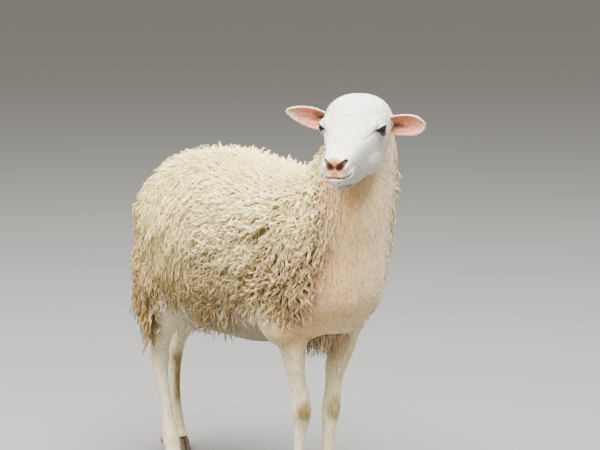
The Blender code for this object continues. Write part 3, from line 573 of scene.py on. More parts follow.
def markings(points, normals, rough):
    """Every mark's strength from 0 to 1 at these points of the frame."""
    p = points - SHIFT_ROW
    head = in_head(p)
    x, y, z = p.T
    edge = np.interp(z, FLEECE_FRONT[:, 0], FLEECE_FRONT[:, 1]) + 0.008 * rough
    edge -= 0.034 * ease(0.0, 0.05, y) * (1 - ease(0.50, 0.62, z))
    hem = np.interp(x, HEM[:, 0], HEM[:, 1]) + LOWEST_ROOT + 0.012 * (1 - ease(-0.22, -0.19, x))
    on_head = (ease(-0.045, 0.000, head[:, 0] + 0.012 * rough) * ease(0.625, 0.655, z)
               * ease(-0.102, -0.080, head[:, 2] + 0.010 * rough))
    behind = ease(-0.034, -0.016, -head[:, 0] - 0.9 * np.clip(head[:, 2], -0.1, 0.02))
    wool = (1 - ease(-0.012, 0.006, x - edge)) * ease(-0.006, 0.010, z - hem - 0.006 * rough)
    wool *= 1 - ease(0.55, 0.8, -normals[:, 2])
    inner = (np.abs(y) < 0.075) & (z < 0.37)
    wool *= np.where(inner, ease(0.050, 0.078, np.abs(y) + 0.35 * np.clip(-0.25 - x, 0, 0.2)), 1.0)
    wool *= 1 - on_head * (1 - behind)
    wool *= 1 - ease(0.682, 0.706, z)
    wool = np.clip(wool, 0, 1)
    axis_y = np.interp(z, NECK_AXIS[:, 0], NECK_AXIS[:, 1])
    body = 1 - ease(-0.02, 0.02, head[:, 0]) * (z > 0.63) * (head[:, 2] > -0.085)
    warm = ease(0.30, 0.345, z) * (1 - ease(0.735, 0.765, z)) * ease(0.20, 0.27, x) * body
    warm *= 1 - 0.70 * ease(0.015, 0.055, y - axis_y - 0.01)
    warm *= (1 - 0.38 * ease(-0.055, 0.020, y - axis_y)) * (0.90 + 0.28 * np.clip(rough, -1, 1))
    # low rises towards the bottom of the body, where the fleece turns tan: partly dirtier wool, partly
    # painted shade
    low = 1 - ease(0.33, 0.63, z - 0.06 * ease(0.16, 0.28, x) - 0.08 * (1 - ease(-0.26, -0.12, x)))
    nose_at = head - np.array((0.2145, 0.0, -0.0262))
    pink = 0.95 * (1 - ease(0.011, 0.0195, np.linalg.norm(nose_at * (0.9, 0.80, 0.95), axis=1)))
    pink = np.maximum(pink, 0.35 * (1 - ease(0.006, 0.014, np.abs(head[:, 2] + 0.045)))
                      * ease(0.198, 0.212, head[:, 0]) * (head[:, 2] > -0.07))
    armpit = np.exp(-(((x - 0.262) / 0.030) ** 2 + ((np.abs(y) - 0.040) / 0.022) ** 2
                      + ((z - 0.335) / 0.030) ** 2))
    pink = np.maximum(pink, 0.30 * armpit)
    stain = np.zeros(len(p))
    for name in ("front_right", "front_left"):
        knee = np.array(LEGS[name][6][0]) + (0.020, -0.004, -0.002)
        off = np.linalg.norm((p - knee) * (1, 1, 0.74), axis=1) / 0.0180
        stain += 1.1 * np.exp(-off ** 4) * (0.85 + 0.25 * rough)
    shin = (z > 0.085) * (z < 0.225) * ease(-0.335, -0.325, x) * (x < -0.28) * (y > 0)
    stain += 1.0 * shin * ease(0.085, 0.12, z) * (1 - ease(0.19, 0.225, z))
    # the nose is stained brown round the nostrils
    stain += 0.58 * ease(0.3, 0.8, pink) * (head[:, 0] > 0.19) * (1 + 0.6 * rough)
    stain = np.clip(stain * (1 + 0.4 * rough), 0, 1)
    # painted shade and dirt together: under the brisket between the front legs, and under the belly
    # where the hide faces down
    grime_and_shade = np.exp(-(((x - 0.245) / 0.055) ** 2 + ((y - 0.005) / 0.050) ** 2
                     + ((z - 0.335) / 0.034) ** 2) ** 2)
    belly = ease(0.10, 0.65, -normals[:, 2]) * (np.abs(y) < 0.125) * ease(0.27, 0.29, z)
    belly *= (1 - ease(0.36, 0.40, z)) * (1 - ease(0.17, 0.22, x)) * ease(-0.16, -0.06, x)
    grime_and_shade = np.clip(0.9 * grime_and_shade * (1 + 0.8 * rough) + 0.78 * belly * (1 + 0.4 * rough), 0, 1)
    tan = np.clip(0.5 + 0.9 * rough, 0, 1)
    return {"wool": wool, "warm": np.clip(warm, 0, 1), "low": low, "pale": on_head, "pink": pink,
            "stain": stain, "grime_and_shade": grime_and_shade, "patch": tan}


def set_marks(mesh, marks):
    """Each mark becomes a number on the mesh's points, or three for a place."""
    for name, values in marks.items():
        kind, field = ("FLOAT", "value") if values.ndim == 1 else ("FLOAT_VECTOR", "vector")
        layer = mesh.attributes.new(name, kind, "POINT")
        layer.data.foreach_set(field, values.astype(np.float32).ravel())


spots = rows_of(hide.data.vertices, "co")
facing = rows_of(hide.data.vertex_normals, "vector")
rough = wander(spots, 0.035) + 0.5 * wander(spots, 0.012, 7.0)
marks = markings(spots, facing, rough)
count = len(spots)
local = in_head(spots - SHIFT_ROW)


def padded_out(values):
    """Marks of the face alone, with none on the ears."""
    return np.concatenate([values, np.zeros(count - len(values))])


# dark: the lids' dark rims, and painted shade in the nostrils, along the mouth line and in the groove
# below the eye
marks["dark"] = np.clip(padded_out(0.95 * lid_edge) + padded_out(nose_dark) * 0.88
                        + padded_out(mouth_dark) * 0.60 + 0.85 * padded_out(crease), 0, 1)
# inside of the ears: pink, deeper towards the root, with white hair on the rim
for side, longer, lift, sweep, twist, blunt in EARS.values():
    back = np.array((Matrix.Translation(SHIFT) @ ear_place(side, lift, sweep, twist)).inverted())
    leaf = spots @ back[:3, :3].T + back[:3, 3]
    t = np.clip(leaf[:, 0] / (EAR_LENGTH * longer), 0, 1.1)
    half = ear_width(t, blunt) / 2
    out = np.zeros(count, bool)
    out[ear_start:] = True
    out &= (leaf[:, 0] > -0.012) & (np.abs(leaf[:, 1]) < 0.05) & (np.sign(local[:, 1]) == side)
    hollow = facing @ np.array(ear_place(side, lift, sweep, twist))[:3, 2]
    inside = ease(0.15, 0.55, hollow) * ease(0.0, 0.35, (half - np.abs(leaf[:, 1])) / 0.0237)
    # veins and ridges run out from the canal, which is furred at its edge; painted shade darkens the
    # canal, and the ridges' darker lines are partly veins and partly painted shade in the folds
    ridge = np.cos(leaf[:, 1] / 0.0042 + 2.2 * wander(leaf[:, :3], 0.014, side)) ** 4
    marks["pink"] = np.where(out, inside * (0.90 - 0.25 * ease(0.5, 1.0, t)), marks["pink"])
    canal = bell(leaf[:, 1] + 0.004, 0.0075) * (1 - ease(0.22, 0.58, t))
    veins_and_shade = np.clip(0.80 * canal + 0.34 * ridge * (1 - ease(0.30, 0.9, t)), 0, 1)
    marks["dark"] = np.where(out, inside * veins_and_shade, marks["dark"])
    for name in ("wool", "warm", "stain", "grime_and_shade"):
        marks[name] = np.where(out, 0.0, marks[name])
    marks["pale"] = np.where(out, 1.0, marks["pale"])

# the lie of the short hair, as stretched coordinates in hairs' widths and lengths
HAIR_WIDE, HAIR_LONG, WHORL = 0.0024, 0.0180, np.array((0.088, 0.000, 0.036))
from_whorl = local - WHORL
away = np.linalg.norm(from_whorl, axis=1)[:, None]
radial = from_whorl / (away + 1e-6) * 0.060 / HAIR_WIDE + away / HAIR_LONG
stretch = np.where(marks["pale"][:, None] > 0.5, radial, spots / (HAIR_WIDE, HAIR_WIDE, HAIR_LONG))
marks["grain"] = stretch
set_marks(hide.data, marks)


def linear(code):
    """An sRGB hex colour as linear red, green and blue."""
    parts = [int(code[i:i + 2], 16) / 255 for i in (1, 3, 5)]
    return [c / 12.92 if c <= 0.04045 else ((c + 0.055) / 1.055) ** 2.4 for c in parts] + [1.0]


def node(tree, kind, inputs=(), **settings):
    """One shader node: settings by name, inputs as values or as sockets to link."""
    made = tree.nodes.new(kind)
    for name, value in settings.items():
        setattr(made, name, value)
    for key, value in dict(inputs).items():
        if isinstance(value, bpy.types.NodeSocket):
            tree.links.new(value, made.inputs[key])
        else:
            made.inputs[key].default_value = value
    return made


# the sheep's colours
LEG_CREAM, FACE_WHITE, NECK_TAN = "#EADAAF", "#DED9CC", "#DDB274"
# the lower fleece's colour is partly dirtier wool and partly painted shade; the root colour is brown
# matted wool and painted shade deep in the coat
WOOL_TOP, WOOL_LOW, WOOL_PATCH, WOOL_ROOT = "#FFEDA8", "#C6A262", "#B29254", "#4E3C1E"
# the grime colour is dirt and painted shade under chest and belly; the dark colour gives the lids'
# dark rims and painted shade in nostrils, mouth line, the groove below the eye and the ear canals
SKIN_PINK, STAIN, GRIME_AND_SHADE, DARK = "#F28A5C", "#8E7434", "#6C5029", "#2A1A13"
BRIGHTEST = 1.06                         # of the fibres' streaks, as a share of the colour


def coat_material(name, tint=0.0, root=0.0, bump=0.0012, sheen=0.15, streaks=0.55):
    """Hair or wool over the marks: fine fibres, paler tips and a brown foot, the brown partly dirtier
    wool and partly painted shade; the bare hide takes painted shade under the fleece and in creases.
    """
    material = bpy.data.materials.new(name)
    material.use_nodes = True
    tree = material.node_tree
    tree.nodes.clear()
    mark = {key: node(tree, "ShaderNodeAttribute", attribute_name=key).outputs["Fac"]
            for key in ("pale", "warm", "wool", "low", "patch", "pink", "stain", "grime_and_shade",
                        "dark", "tint", "along")}
    half = node(tree, "ShaderNodeMath", {0: mark["patch"], 1: mark["low"]}, operation="MULTIPLY")
    fleece = linear(WOOL_TOP)
    # the fleece darkens to tan lower down: dirtier wool and painted shade
    for over, amount in ((WOOL_LOW, mark["low"]), (WOOL_PATCH, half.outputs[0])):
        fleece = node(tree, "ShaderNodeMix", {0: amount, 6: fleece, 7: linear(over)},
                      data_type="RGBA").outputs[2]
    colour = linear(LEG_CREAM)
    for over, key in ((linear(FACE_WHITE), "pale"), (linear(NECK_TAN), "warm"), (fleece, "wool"),
                      (linear(SKIN_PINK), "pink"), (linear(STAIN), "stain"),
                      (linear(GRIME_AND_SHADE), "grime_and_shade")):
        colour = node(tree, "ShaderNodeMix", {0: mark[key], 6: colour, 7: over},
                      data_type="RGBA").outputs[2]
    grain = node(tree, "ShaderNodeAttribute", attribute_name="grain").outputs["Vector"]
    strands = node(tree, "ShaderNodeTexNoise", {"Vector": grain, "Scale": 1.0, "Detail": 2.0})
    streak = node(tree, "ShaderNodeMapRange", {0: strands.outputs["Fac"], 1: 0.3, 2: 0.75,
                                               3: BRIGHTEST - streaks, 4: BRIGHTEST})
    if tint:
        own = node(tree, "ShaderNodeMapRange", {0: mark["tint"], 1: 0.0, 2: 1.0,
                                                3: 1 - tint, 4: 1.0})
        streak = node(tree, "ShaderNodeMath", {0: streak.outputs[0], 1: own.outputs[0]},
                      operation="MULTIPLY")
    colour = node(tree, "ShaderNodeVectorMath", {0: colour, "Scale": streak.outputs[0]},
                  operation="SCALE").outputs[0]
    if root:
        # the locks' feet are painted brown, more so lower down: partly dirtier wool, partly painted
        # shade deep in the coat
        foot = node(tree, "ShaderNodeMapRange", {0: mark["along"], 1: 0.0, 2: 0.62, 3: root, 4: 0.0})
        dirt_and_shade = node(tree, "ShaderNodeMapRange", {0: mark["low"], 1: 0.0, 2: 0.7, 3: 0.25, 4: 1.0})
        foot = node(tree, "ShaderNodeMath", {0: foot.outputs[0], 1: dirt_and_shade.outputs[0]},
                    operation="MULTIPLY")
        shades = [(WOOL_ROOT, foot.outputs[0])]
    else:
        # the hide under the fleece is painted the brown of the wool's matted foot, more so lower down,
        # partly as painted shade between the locks
        shade = node(tree, "ShaderNodeMapRange", {0: mark["low"], 1: 0.0, 2: 0.8, 3: 0.35, 4: 0.85})
        deep = node(tree, "ShaderNodeMath", {0: mark["wool"], 1: shade.outputs[0]},
                    operation="MULTIPLY")
        # the dark colour gives the lids' dark rims, and painted shade in nostrils, mouth line, the
        # groove below the eye and the ear canals
        shades = [(WOOL_ROOT, deep.outputs[0]), (DARK, mark["dark"])]
    for over, amount in shades:
        colour = node(tree, "ShaderNodeMix", {0: amount, 6: colour, 7: linear(over)},
                      data_type="RGBA").outputs[2]
    lifted = node(tree, "ShaderNodeBump", {"Height": strands.outputs["Fac"], "Strength": 0.6,
                                           "Distance": bump})
    shader = node(tree, "ShaderNodeBsdfPrincipled", {
        "Base Color": colour, "Roughness": 0.78, "Sheen Weight": sheen, "Sheen Roughness": 0.45,
        "Normal": lifted.outputs[0]})
    out = node(tree, "ShaderNodeOutputMaterial")
    tree.links.new(shader.outputs[0], out.inputs[0])
    return material


# short, dense, rather dull hair over pale hide; it gives a soft edge light
hide.data.materials.clear()
hide.data.materials.append(coat_material("short_hair_on_hide"))
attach(hide, "root")
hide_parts("trunk", "neck", "head", "tail", "ear_left", "ear_right",
            "leg_front_left", "leg_front_right", "leg_hind_left", "leg_hind_right")

# ---- the eyes ------------------------------------------------------------------------
# Wet, dark eyeballs with a level slit pupil in a dark brown iris and a slightly domed
# cornea, held by the lids.
CORNEA, IRIS, PUPIL_LONG, PUPIL_HIGH = 0.0098, 0.0092, 0.0052, 0.0020


def eye_material():
    """Cornea over iris: smooth, wet and glossy; the pupil lies level."""
    material = bpy.data.materials.new("wet_eye")
    material.use_nodes = True
    tree = material.node_tree
    tree.nodes.clear()
    gaze = node(tree, "ShaderNodeAttribute", attribute_name="gaze").outputs["Vector"]
    parts = node(tree, "ShaderNodeSeparateXYZ", {0: gaze})
    flat = node(tree, "ShaderNodeCombineXYZ", {0: parts.outputs[0], 1: parts.outputs[1], 2: 0.0})
    far = node(tree, "ShaderNodeVectorMath", {0: flat.outputs[0]}, operation="LENGTH").outputs["Value"]
    slit = node(tree, "ShaderNodeVectorMath", {0: flat.outputs[0],
                                               1: (1 / PUPIL_LONG, 1 / PUPIL_HIGH, 0.0)},
                operation="MULTIPLY")
    slit_far = node(tree, "ShaderNodeVectorMath", {0: slit.outputs[0]}, operation="LENGTH")
    pupil = node(tree, "ShaderNodeMapRange", {0: slit_far.outputs["Value"], 1: 0.85, 2: 1.15,
                                              3: 1.0, 4: 0.0})
    rim = node(tree, "ShaderNodeMapRange", {0: far, 1: IRIS * 0.80, 2: IRIS, 3: 0.0, 4: 1.0})
    ray = node(tree, "ShaderNodeTexNoise", {"Vector": gaze, "Scale": 900.0, "Detail": 3.0})
    tone = node(tree, "ShaderNodeMapRange", {0: ray.outputs["Fac"], 1: 0.35, 2: 0.7, 3: 0.0, 4: 1.0})
    colour = linear("#100C0A")
    for over, amount in (("#2C2019", tone), ("#120D0B", rim), ("#050507", pupil)):
        colour = node(tree, "ShaderNodeMix", {0: amount.outputs[0], 6: colour, 7: linear(over)},
                      data_type="RGBA").outputs[2]
    shader = node(tree, "ShaderNodeBsdfPrincipled", {
        "Base Color": colour, "Roughness": 0.04, "IOR": 1.38})
    out = node(tree, "ShaderNodeOutputMaterial")
    tree.links.new(shader.outputs[0], out.inputs[0])
    return material


DOME = 0.0009                            # of the cornea over the ball
wet_eye = eye_material()
for side, name, centre in zip((1, -1), ("left", "right"), EYES):
    gaze, inner, up = eye_axes(side)
    bm = bmesh.new()
    bmesh.ops.create_uvsphere(bm, u_segments=48, v_segments=32, radius=EYE_RADIUS)
    for vert in bm.verts:
        off = math.hypot(vert.co.x, vert.co.y)
        if vert.co.z > 0 and off < CORNEA:
            vert.co.z += DOME * (1 - (off / CORNEA) ** 2) ** 1.5
    gazes = np.array([tuple(vert.co) for vert in bm.verts])
    turn = Matrix((inner, up, gaze)).transposed().to_4x4()
    bmesh.ops.transform(bm, matrix=Matrix.Translation(SHIFT) @ HEAD_FRAME
                        @ Matrix.Translation(centre) @ turn, verts=bm.verts[:])
    bmesh.ops.recalc_face_normals(bm, faces=bm.faces[:])
    mesh = mesh_from(bm, "eyeball_" + name)
    set_marks(mesh, {"gaze": gazes})
    mesh.shade_smooth()
    mesh.materials.append(wet_eye)
    eyeball = new_piece("eyeball_" + name, mesh)
    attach(eyeball, "root")
    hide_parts("eye_" + name)

# ---- hooves and dewclaws -------------------------------------------------------------
# Two horn shoes on each foot, ringed by growth and blotched, with two small dewclaws
# behind the pastern.


def horn_material():
    """Dull brown keratin with growth rings a couple of millimetres apart."""
    material = bpy.data.materials.new("hoof_horn")
    material.use_nodes = True
    tree = material.node_tree
    tree.nodes.clear()
    place = node(tree, "ShaderNodeTexCoord").outputs["Object"]
    wide = node(tree, "ShaderNodeMapping", {"Vector": place, "Scale": (30.0, 30.0, 420.0)})
    rings = node(tree, "ShaderNodeTexNoise", {"Vector": wide.outputs[0], "Scale": 1.0, "Detail": 2.0})
    blotch = node(tree, "ShaderNodeTexNoise", {"Vector": place, "Scale": 160.0, "Detail": 4.0})
    tone = node(tree, "ShaderNodeMapRange", {0: blotch.outputs["Fac"], 1: 0.3, 2: 0.7, 3: 0.0, 4: 1.0})
    ringed = node(tree, "ShaderNodeMapRange", {0: rings.outputs["Fac"], 1: 0.35, 2: 0.65,
                                               3: 0.0, 4: 0.6})
    colour = linear("#4A3D31")
    for over, amount in (("#85715A", tone), ("#2C241D", ringed)):
        colour = node(tree, "ShaderNodeMix", {0: amount.outputs[0], 6: colour, 7: linear(over)},
                      data_type="RGBA").outputs[2]
    lifted = node(tree, "ShaderNodeBump", {"Height": rings.outputs["Fac"], "Strength": 0.5,
                                           "Distance": 0.0008})
    shader = node(tree, "ShaderNodeBsdfPrincipled", {
        "Base Color": colour, "Roughness": 0.48, "IOR": 1.55, "Normal": lifted.outputs[0]})
    out = node(tree, "ShaderNodeOutputMaterial")
    tree.links.new(shader.outputs[0], out.inputs[0])
    return material


horn = horn_material()


def horn_piece(name, bm, replaced):
    """A closed horn piece that stands for its plain solid."""
    bmesh.ops.recalc_face_normals(bm, faces=bm.faces[:])
    mesh = mesh_from(bm, name)
    mesh.shade_smooth()
    mesh.set_sharp_from_angle(angle=math.radians(50))
    mesh.materials.append(horn)
    piece = new_piece(name, mesh)
    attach(piece, "root")
    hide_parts(replaced)


HOOF_SLICES = 16
CLAW_PART = (0.62, 0.46, 0.46)           # of the solid's box, for each half axis
for foot in LEGS:
    toes = {toe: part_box("hoof_%s_%s" % (foot, toe)) for toe in ("outer", "inner")}
    gap_y = sum(low.y + high.y for low, high in toes.values()) / 4
    for toe, (low, high) in toes.items():
        middle = (low + high) / 2
        outward_side = 1 if middle.y > gap_y else -1
        inner_y = low.y if outward_side > 0 else high.y
        deep, wide = (high.x - low.x) / 2, high.y - low.y
        bm = bmesh.new()
        rings = []
        for k in range(HOOF_SLICES + 1):
            t = k / HOOF_SLICES
            grow = 1.0 - 0.22 * t + 0.012 * math.sin(t * 26) * (1 - t)
            grow -= 0.05 * max(0.0, 1 - t * 9)
            points = []
            for i in range(RING):
                a = 2 * math.pi * i / RING
                px = math.copysign(abs(math.cos(a)) ** 0.78, math.cos(a)) * deep * 0.985
                py = max(math.sin(a), -0.12) * wide * (0.86 + 0.14 * math.cos(a * 0.5) ** 2)
                py = (py + 0.12 * wide) / 1.12
                points.append(Vector((middle.x + px * grow - 0.16 * deep * t,
                                      inner_y + outward_side * (0.0002 + py * 0.96 * grow),
                                      low.z + (high.z - low.z) * t)))
            rings.append(points)
        loft(bm, rings)
        horn_piece("horn_" + foot + "_" + toe, bm, "hoof_%s_%s" % (foot, toe))
        dewclaw = "dewclaw_%s_%s" % (foot, toe)
        low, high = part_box(dewclaw)
        size = [(high[k] - low[k]) * part for k, part in enumerate(CLAW_PART)]
        bm = bmesh.new()
        ball(bm, (low + high) / 2 + Vector((0.002, 0, 0)), size, (0, 20, 0))
        horn_piece("claw_" + foot + "_" + toe, bm, dewclaw)

# ---- the fleece ----------------------------------------------------------------------
# Never shorn: crimped locks of a few strands each, short and fluffy along the back, curled
# on the shoulder, swept back on the flank, long and hanging on rump and thigh.  Each starts
# on the hide, rises through the coat's depth and lies down over the next ones.
STRANDS, STEPS = 3, 8                    # in each lock, and along each strand
LOCK_SPACING, STRAY_SPACING, SHORTEST_LOCK = 0.0081, 0.0112, 0.018
CRIMP, STRAND_THICK = 0.0205, 0.00130    # one wave's length; half a strand's width
FINE = 1.0        # how much wider apart the locks of a draft stand
rng = np.random.default_rng(7)
hide_tree = BVHTree.FromPolygons([tuple(v) for v in spots],
                                 [tuple(f.vertices) for f in hide.data.polygons])
shell_points, shell_faces = [], []
for name in ("trunk", "neck", "tail"):
    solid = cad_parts[name].data
    start = len(shell_points)
    shell_points += [tuple(v.co) for v in solid.vertices]
    shell_faces += [tuple(start + i for i in f.vertices) for f in solid.polygons]
shell = BVHTree.FromPolygons(shell_points, shell_faces)
faces = np.array([tuple(f.vertices) for f in hide.data.polygons])
first_corner = (np.argmin(faces, axis=1)[:, None] + np.arange(3)) % 3
faces = np.take_along_axis(faces, first_corner, axis=1)
corners = spots[faces]
spans = np.cross(corners[:, 1] - corners[:, 0], corners[:, 2] - corners[:, 0])
areas = np.linalg.norm(spans, axis=1) / 2
flat_map = np.empty(len(hide.data.loops) * 2, np.float32)
hide.data.uv_layers["OFBake"].data.foreach_get("uv", flat_map)
flat_map = np.take_along_axis(flat_map.reshape(-1, 3, 2), first_corner[:, :, None], axis=1)
all_marks = {key: values for key, values in marks.items() if key != "grain"}


def scatter(density, spacing):
    """Roots spread over the hide about that far apart, thinned by a density per point."""
    chance = density[faces].mean(axis=1)
    share = areas * (chance > 0.02)
    tries = int(7 * share.sum() / spacing ** 2)
    picks = rng.choice(len(faces), tries, p=share / share.sum())
    a, b = rng.random(tries), rng.random(tries)
    over = a + b > 1
    a[over], b[over] = 1 - a[over], 1 - b[over]
    mix = np.stack([1 - a - b, a, b], axis=1)
    places = np.einsum("nk,nkd->nd", mix, corners[picks])
    cells = np.floor(places / spacing).astype(int)
    keep = np.unique(cells, axis=0, return_index=True)[1]
    keep = keep[rng.random(len(keep)) < chance[picks[keep]]]
    picks, mix = picks[keep], mix[keep]
    root = {"at": places[keep], "face": picks,
            "way_out": np.einsum("nk,nkd->nd", mix, facing[faces[picks]]),
            "uv": np.einsum("nk,nkd->nd", mix, flat_map[picks])}
    root["way_out"] /= np.linalg.norm(root["way_out"], axis=1)[:, None]
    root["marks"] = {key: np.einsum("nk,nk->n", mix, values[faces[picks]])
                     for key, values in all_marks.items()}
    return root


def unit(rows):
    """Rows brought to length one."""
    return rows / (np.linalg.norm(rows, axis=-1, keepdims=True) + 1e-9)


def sideways(paths, ways_out):
    """The way across each path, flat on the coat."""
    return unit(np.cross(unit(np.gradient(paths, axis=1)), ways_out))


def turned(way, normals, veer):
    """Directions laid flat on the hide and swung about its normal."""
    way = unit(way - normals * np.sum(way * normals, axis=1)[:, None])
    across = np.cross(normals, way)
    return unit(way * np.cos(veer)[:, None] + across * np.sin(veer)[:, None])


def wool_lie(points, normals, veer):
    """The way the fleece lies: back on spine and flank, down behind, below and in front."""
    x, z = points[:, 0], points[:, 2]
    barrel = ease(-0.07, -0.01, x) * (1 - ease(0.13, 0.22, x)) * ease(0.37, 0.46, z)
    way = np.zeros_like(points)
    way[:, 2] = -1.0
    way[:, 0] = -0.15 - 1.20 * barrel - 0.5 * ease(0.55, 0.95, normals[:, 2])
    way[:, 0] *= 1 - 0.75 * ease(0.08, 0.25, x)
    way[:, 1] = 0.55 * np.sign(points[:, 1]) * ease(0.4, 0.9, normals[:, 2])
    return turned(way, normals, veer)


# low on the flank and on the thigh, locks leave the hide where it falls away, and hang free
THIGH_AT, FREE_BELOW, FREE_BELOW_THIGH = -0.24, 0.335, 0.40


def guides(root, length, height, veer, hang, steps):
    """Middle lines of the locks, followed over the hide step by step."""
    at, out = root["at"].copy(), root["way_out"].copy()
    paths, ways_out = [at.copy()], [out.copy()]
    free = np.zeros(len(at), bool)
    for k in range(1, steps + 1):
        way = wool_lie(at, out, veer * (1 - 0.55 * k / steps))
        way[free] = unit(np.array((0.0, 0.0, -1.0)) + 0.10 * out[free])
        at = at + way * (length / steps)[:, None]
        low = at[:, 2] < np.where(at[:, 0] > THIGH_AT, FREE_BELOW, FREE_BELOW_THIGH)
        for i in np.nonzero(~free)[0]:
            spot, normal, _, _ = hide_tree.find_nearest(Vector(at[i]))
            if hang[i] and low[i] and k > 2 and normal.z < 0.25:
                free[i] = True
            else:
                at[i], out[i] = spot, normal
        paths.append(at.copy())
        ways_out.append(unit(out.copy()))
    paths, ways_out = np.stack(paths, axis=1), np.stack(ways_out, axis=1)
    t = np.linspace(0, 1, steps + 1)
    rise = 1 - (1 - t) ** 2.2
    return paths + ways_out * (height[:, None] * rise)[:, :, None], ways_out


PATCH, SIDES = 0.003, 3                  # of the flat map and of a section, for each strand


def strand_mesh(name, middles, ways_out, thick, uv, tint, marks):
    """Tapered closed strands along their middle lines, joined in one mesh."""
    n, rings = middles.shape[:2]
    across = sideways(middles, ways_out)
    over = np.cross(across, unit(np.gradient(middles, axis=1)))
    t = np.linspace(0, 1, rings)
    profile = np.minimum(0.55 + 2.2 * t, 1.0) * np.sqrt(np.clip(1 - t ** 2.4, 0, 1))
    turns = 2 * np.pi * (np.arange(SIDES) / SIDES)
    radius = (thick[:, None] * profile)[:, :-1, None, None]
    body = (middles[:, :-1, None, :] + across[:, :-1, None, :] * np.cos(turns)[:, None] * radius
            + over[:, :-1, None, :] * np.sin(turns)[:, None] * radius * 0.8)
    points = np.concatenate([body.reshape(n, -1, 3), middles[:, -1:, :]], axis=1)
    each = points.shape[1]
    shapes, wraps = [], []
    for k in range(rings - 2):
        for i in range(SIDES):
            a, b = k * SIDES + i, k * SIDES + (i + 1) % SIDES
            shapes.append((a, b, b + SIDES, a + SIDES))
            wraps.append(i == SIDES - 1)
    for i in range(SIDES):
        a, b = (rings - 2) * SIDES + i, (rings - 2) * SIDES + (i + 1) % SIDES
        shapes.append((a, b, each - 1))
        wraps.append(i == SIDES - 1)
    shapes.append(tuple(range(SIDES - 1, -1, -1)))
    wraps.append(False)
    flat = np.concatenate([np.array(shape) for shape in shapes])
    starts = np.cumsum([0] + [len(shape) for shape in shapes[:-1]])
    base = np.arange(n)[:, None]
    mesh = bpy.data.meshes.new(name)
    mesh.vertices.add(n * each)
    mesh.vertices.foreach_set("co", points.astype(np.float32).ravel())
    mesh.loops.add(n * len(flat))
    mesh.polygons.add(n * len(shapes))
    mesh.polygons.foreach_set("loop_start", (base * len(flat) + starts).astype(np.int32).ravel())
    mesh.polygons.foreach_set("vertices", (base * each + flat).astype(np.int32).ravel())
    mesh.update(calc_edges=True)
    # each strand has a small patch of the flat map: round it one way, along it the other
    patch = []
    for shape, wrap in zip(shapes, wraps):
        for i in shape:
            k, turn = (rings - 1, SIDES / 2) if i == each - 1 else divmod(i, SIDES)
            patch.append(((SIDES if wrap and turn == 0 else turn) / SIDES, k / (rings - 1)))
    uvs = np.clip(uv[:, None, :] + (np.array(patch)[None] - 0.5) * PATCH, 0.0, 1.0)
    layer = mesh.uv_layers.new(name="OFBake")
    layer.data.foreach_set("uv", uvs.astype(np.float32).ravel())
    each_t = np.concatenate([np.repeat(t[:-1], SIDES), [1.0]])
    each_turn = np.concatenate([np.tile(turns, rings - 1), [0.0]])
    values = {key: np.repeat(value, each) for key, value in marks.items()}
    values["along"] = np.tile(each_t, n)
    values["tint"] = np.repeat(tint, each)
    grain = np.zeros((n, each, 3))
    grain[:, :, 0] = 1.6 * np.cos(each_turn) + tint[:, None] * 91
    grain[:, :, 1] = 1.6 * np.sin(each_turn) + tint[:, None] * 57
    grain[:, :, 2] = each_t * 3.0
    values["grain"] = grain.reshape(-1, 3)
    set_marks(mesh, values)
    mesh.shade_smooth()
    return mesh


wool = coat_material("raw_wool", tint=0.12, root=0.80, bump=0.0004, sheen=0.20, streaks=0.16)
CLEAR = 0.0026                           # kept between the coat's middle lines and the box
lowest, highest = np.array(cad_box[0]) + CLEAR, np.array(cad_box[1]) - CLEAR


def wool_piece(name, root, pick, strands, ways_out, thick, tint):
    """One region of the fleece as a single mesh of strands."""
    copies = len(strands)
    middles = np.clip(np.concatenate([strand[pick] for strand in strands]), lowest, highest)
    mesh = strand_mesh(name, middles, np.tile(ways_out[pick], (copies, 1, 1)),
                       np.tile(thick[pick], copies), np.tile(root["uv"][pick], (copies, 1)),
                       np.tile(tint[pick], copies),
                       {key: np.tile(value[pick], copies) for key, value in root["marks"].items()})
    piece = new_piece(name, mesh)
    mesh.materials.append(wool)
    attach(piece, "root")


def coat_depth(root):
    """How far the coat's outline lies above each root."""
    depth = np.full(len(root["at"]), 0.012)
    for i, (place, way) in enumerate(zip(root["at"], root["way_out"])):
        hit = shell.ray_cast(Vector(place), Vector(way), 0.06)
        if hit[0] is not None:
            depth[i] = hit[3]
    return np.clip(depth, 0.004, 0.026)


dense = all_marks["wool"] ** 2 * (1 - 0.22 * all_marks["low"])
roots = scatter(dense, LOCK_SPACING * FINE)
count = len(roots["at"])
at, up = roots["at"], roots["way_out"]
level = np.clip((at[:, 2] - 0.33) / 0.30, 0, 1)
top = ease(0.45, 0.85, up[:, 2])
rear = 1 - ease(-0.12, -0.02, at[:, 0])
curly = ease(0.08, 0.18, at[:, 0]) * (1 - top)
length = 0.050 + 0.014 * (1 - level) + 0.018 * rear * (1 - top) - 0.024 * top - 0.018 * curly * level
behind = (1 - ease(-0.29, -0.23, at[:, 0])) * (1 - ease(0.42, 0.50, at[:, 2])) * (1 - top)
length = (length + 0.016 * behind) * rng.uniform(0.75, 1.25, count)
# hardly a tip hangs below the hem
above = at[:, 2] - np.interp(at[:, 0] - SHIFT_ROW[0], HEM[:, 0], HEM[:, 1])
length = np.minimum(length, (1.38 * above + 0.006) * rng.uniform(0.82, 1.18, count))
length = np.maximum(length, SHORTEST_LOCK)
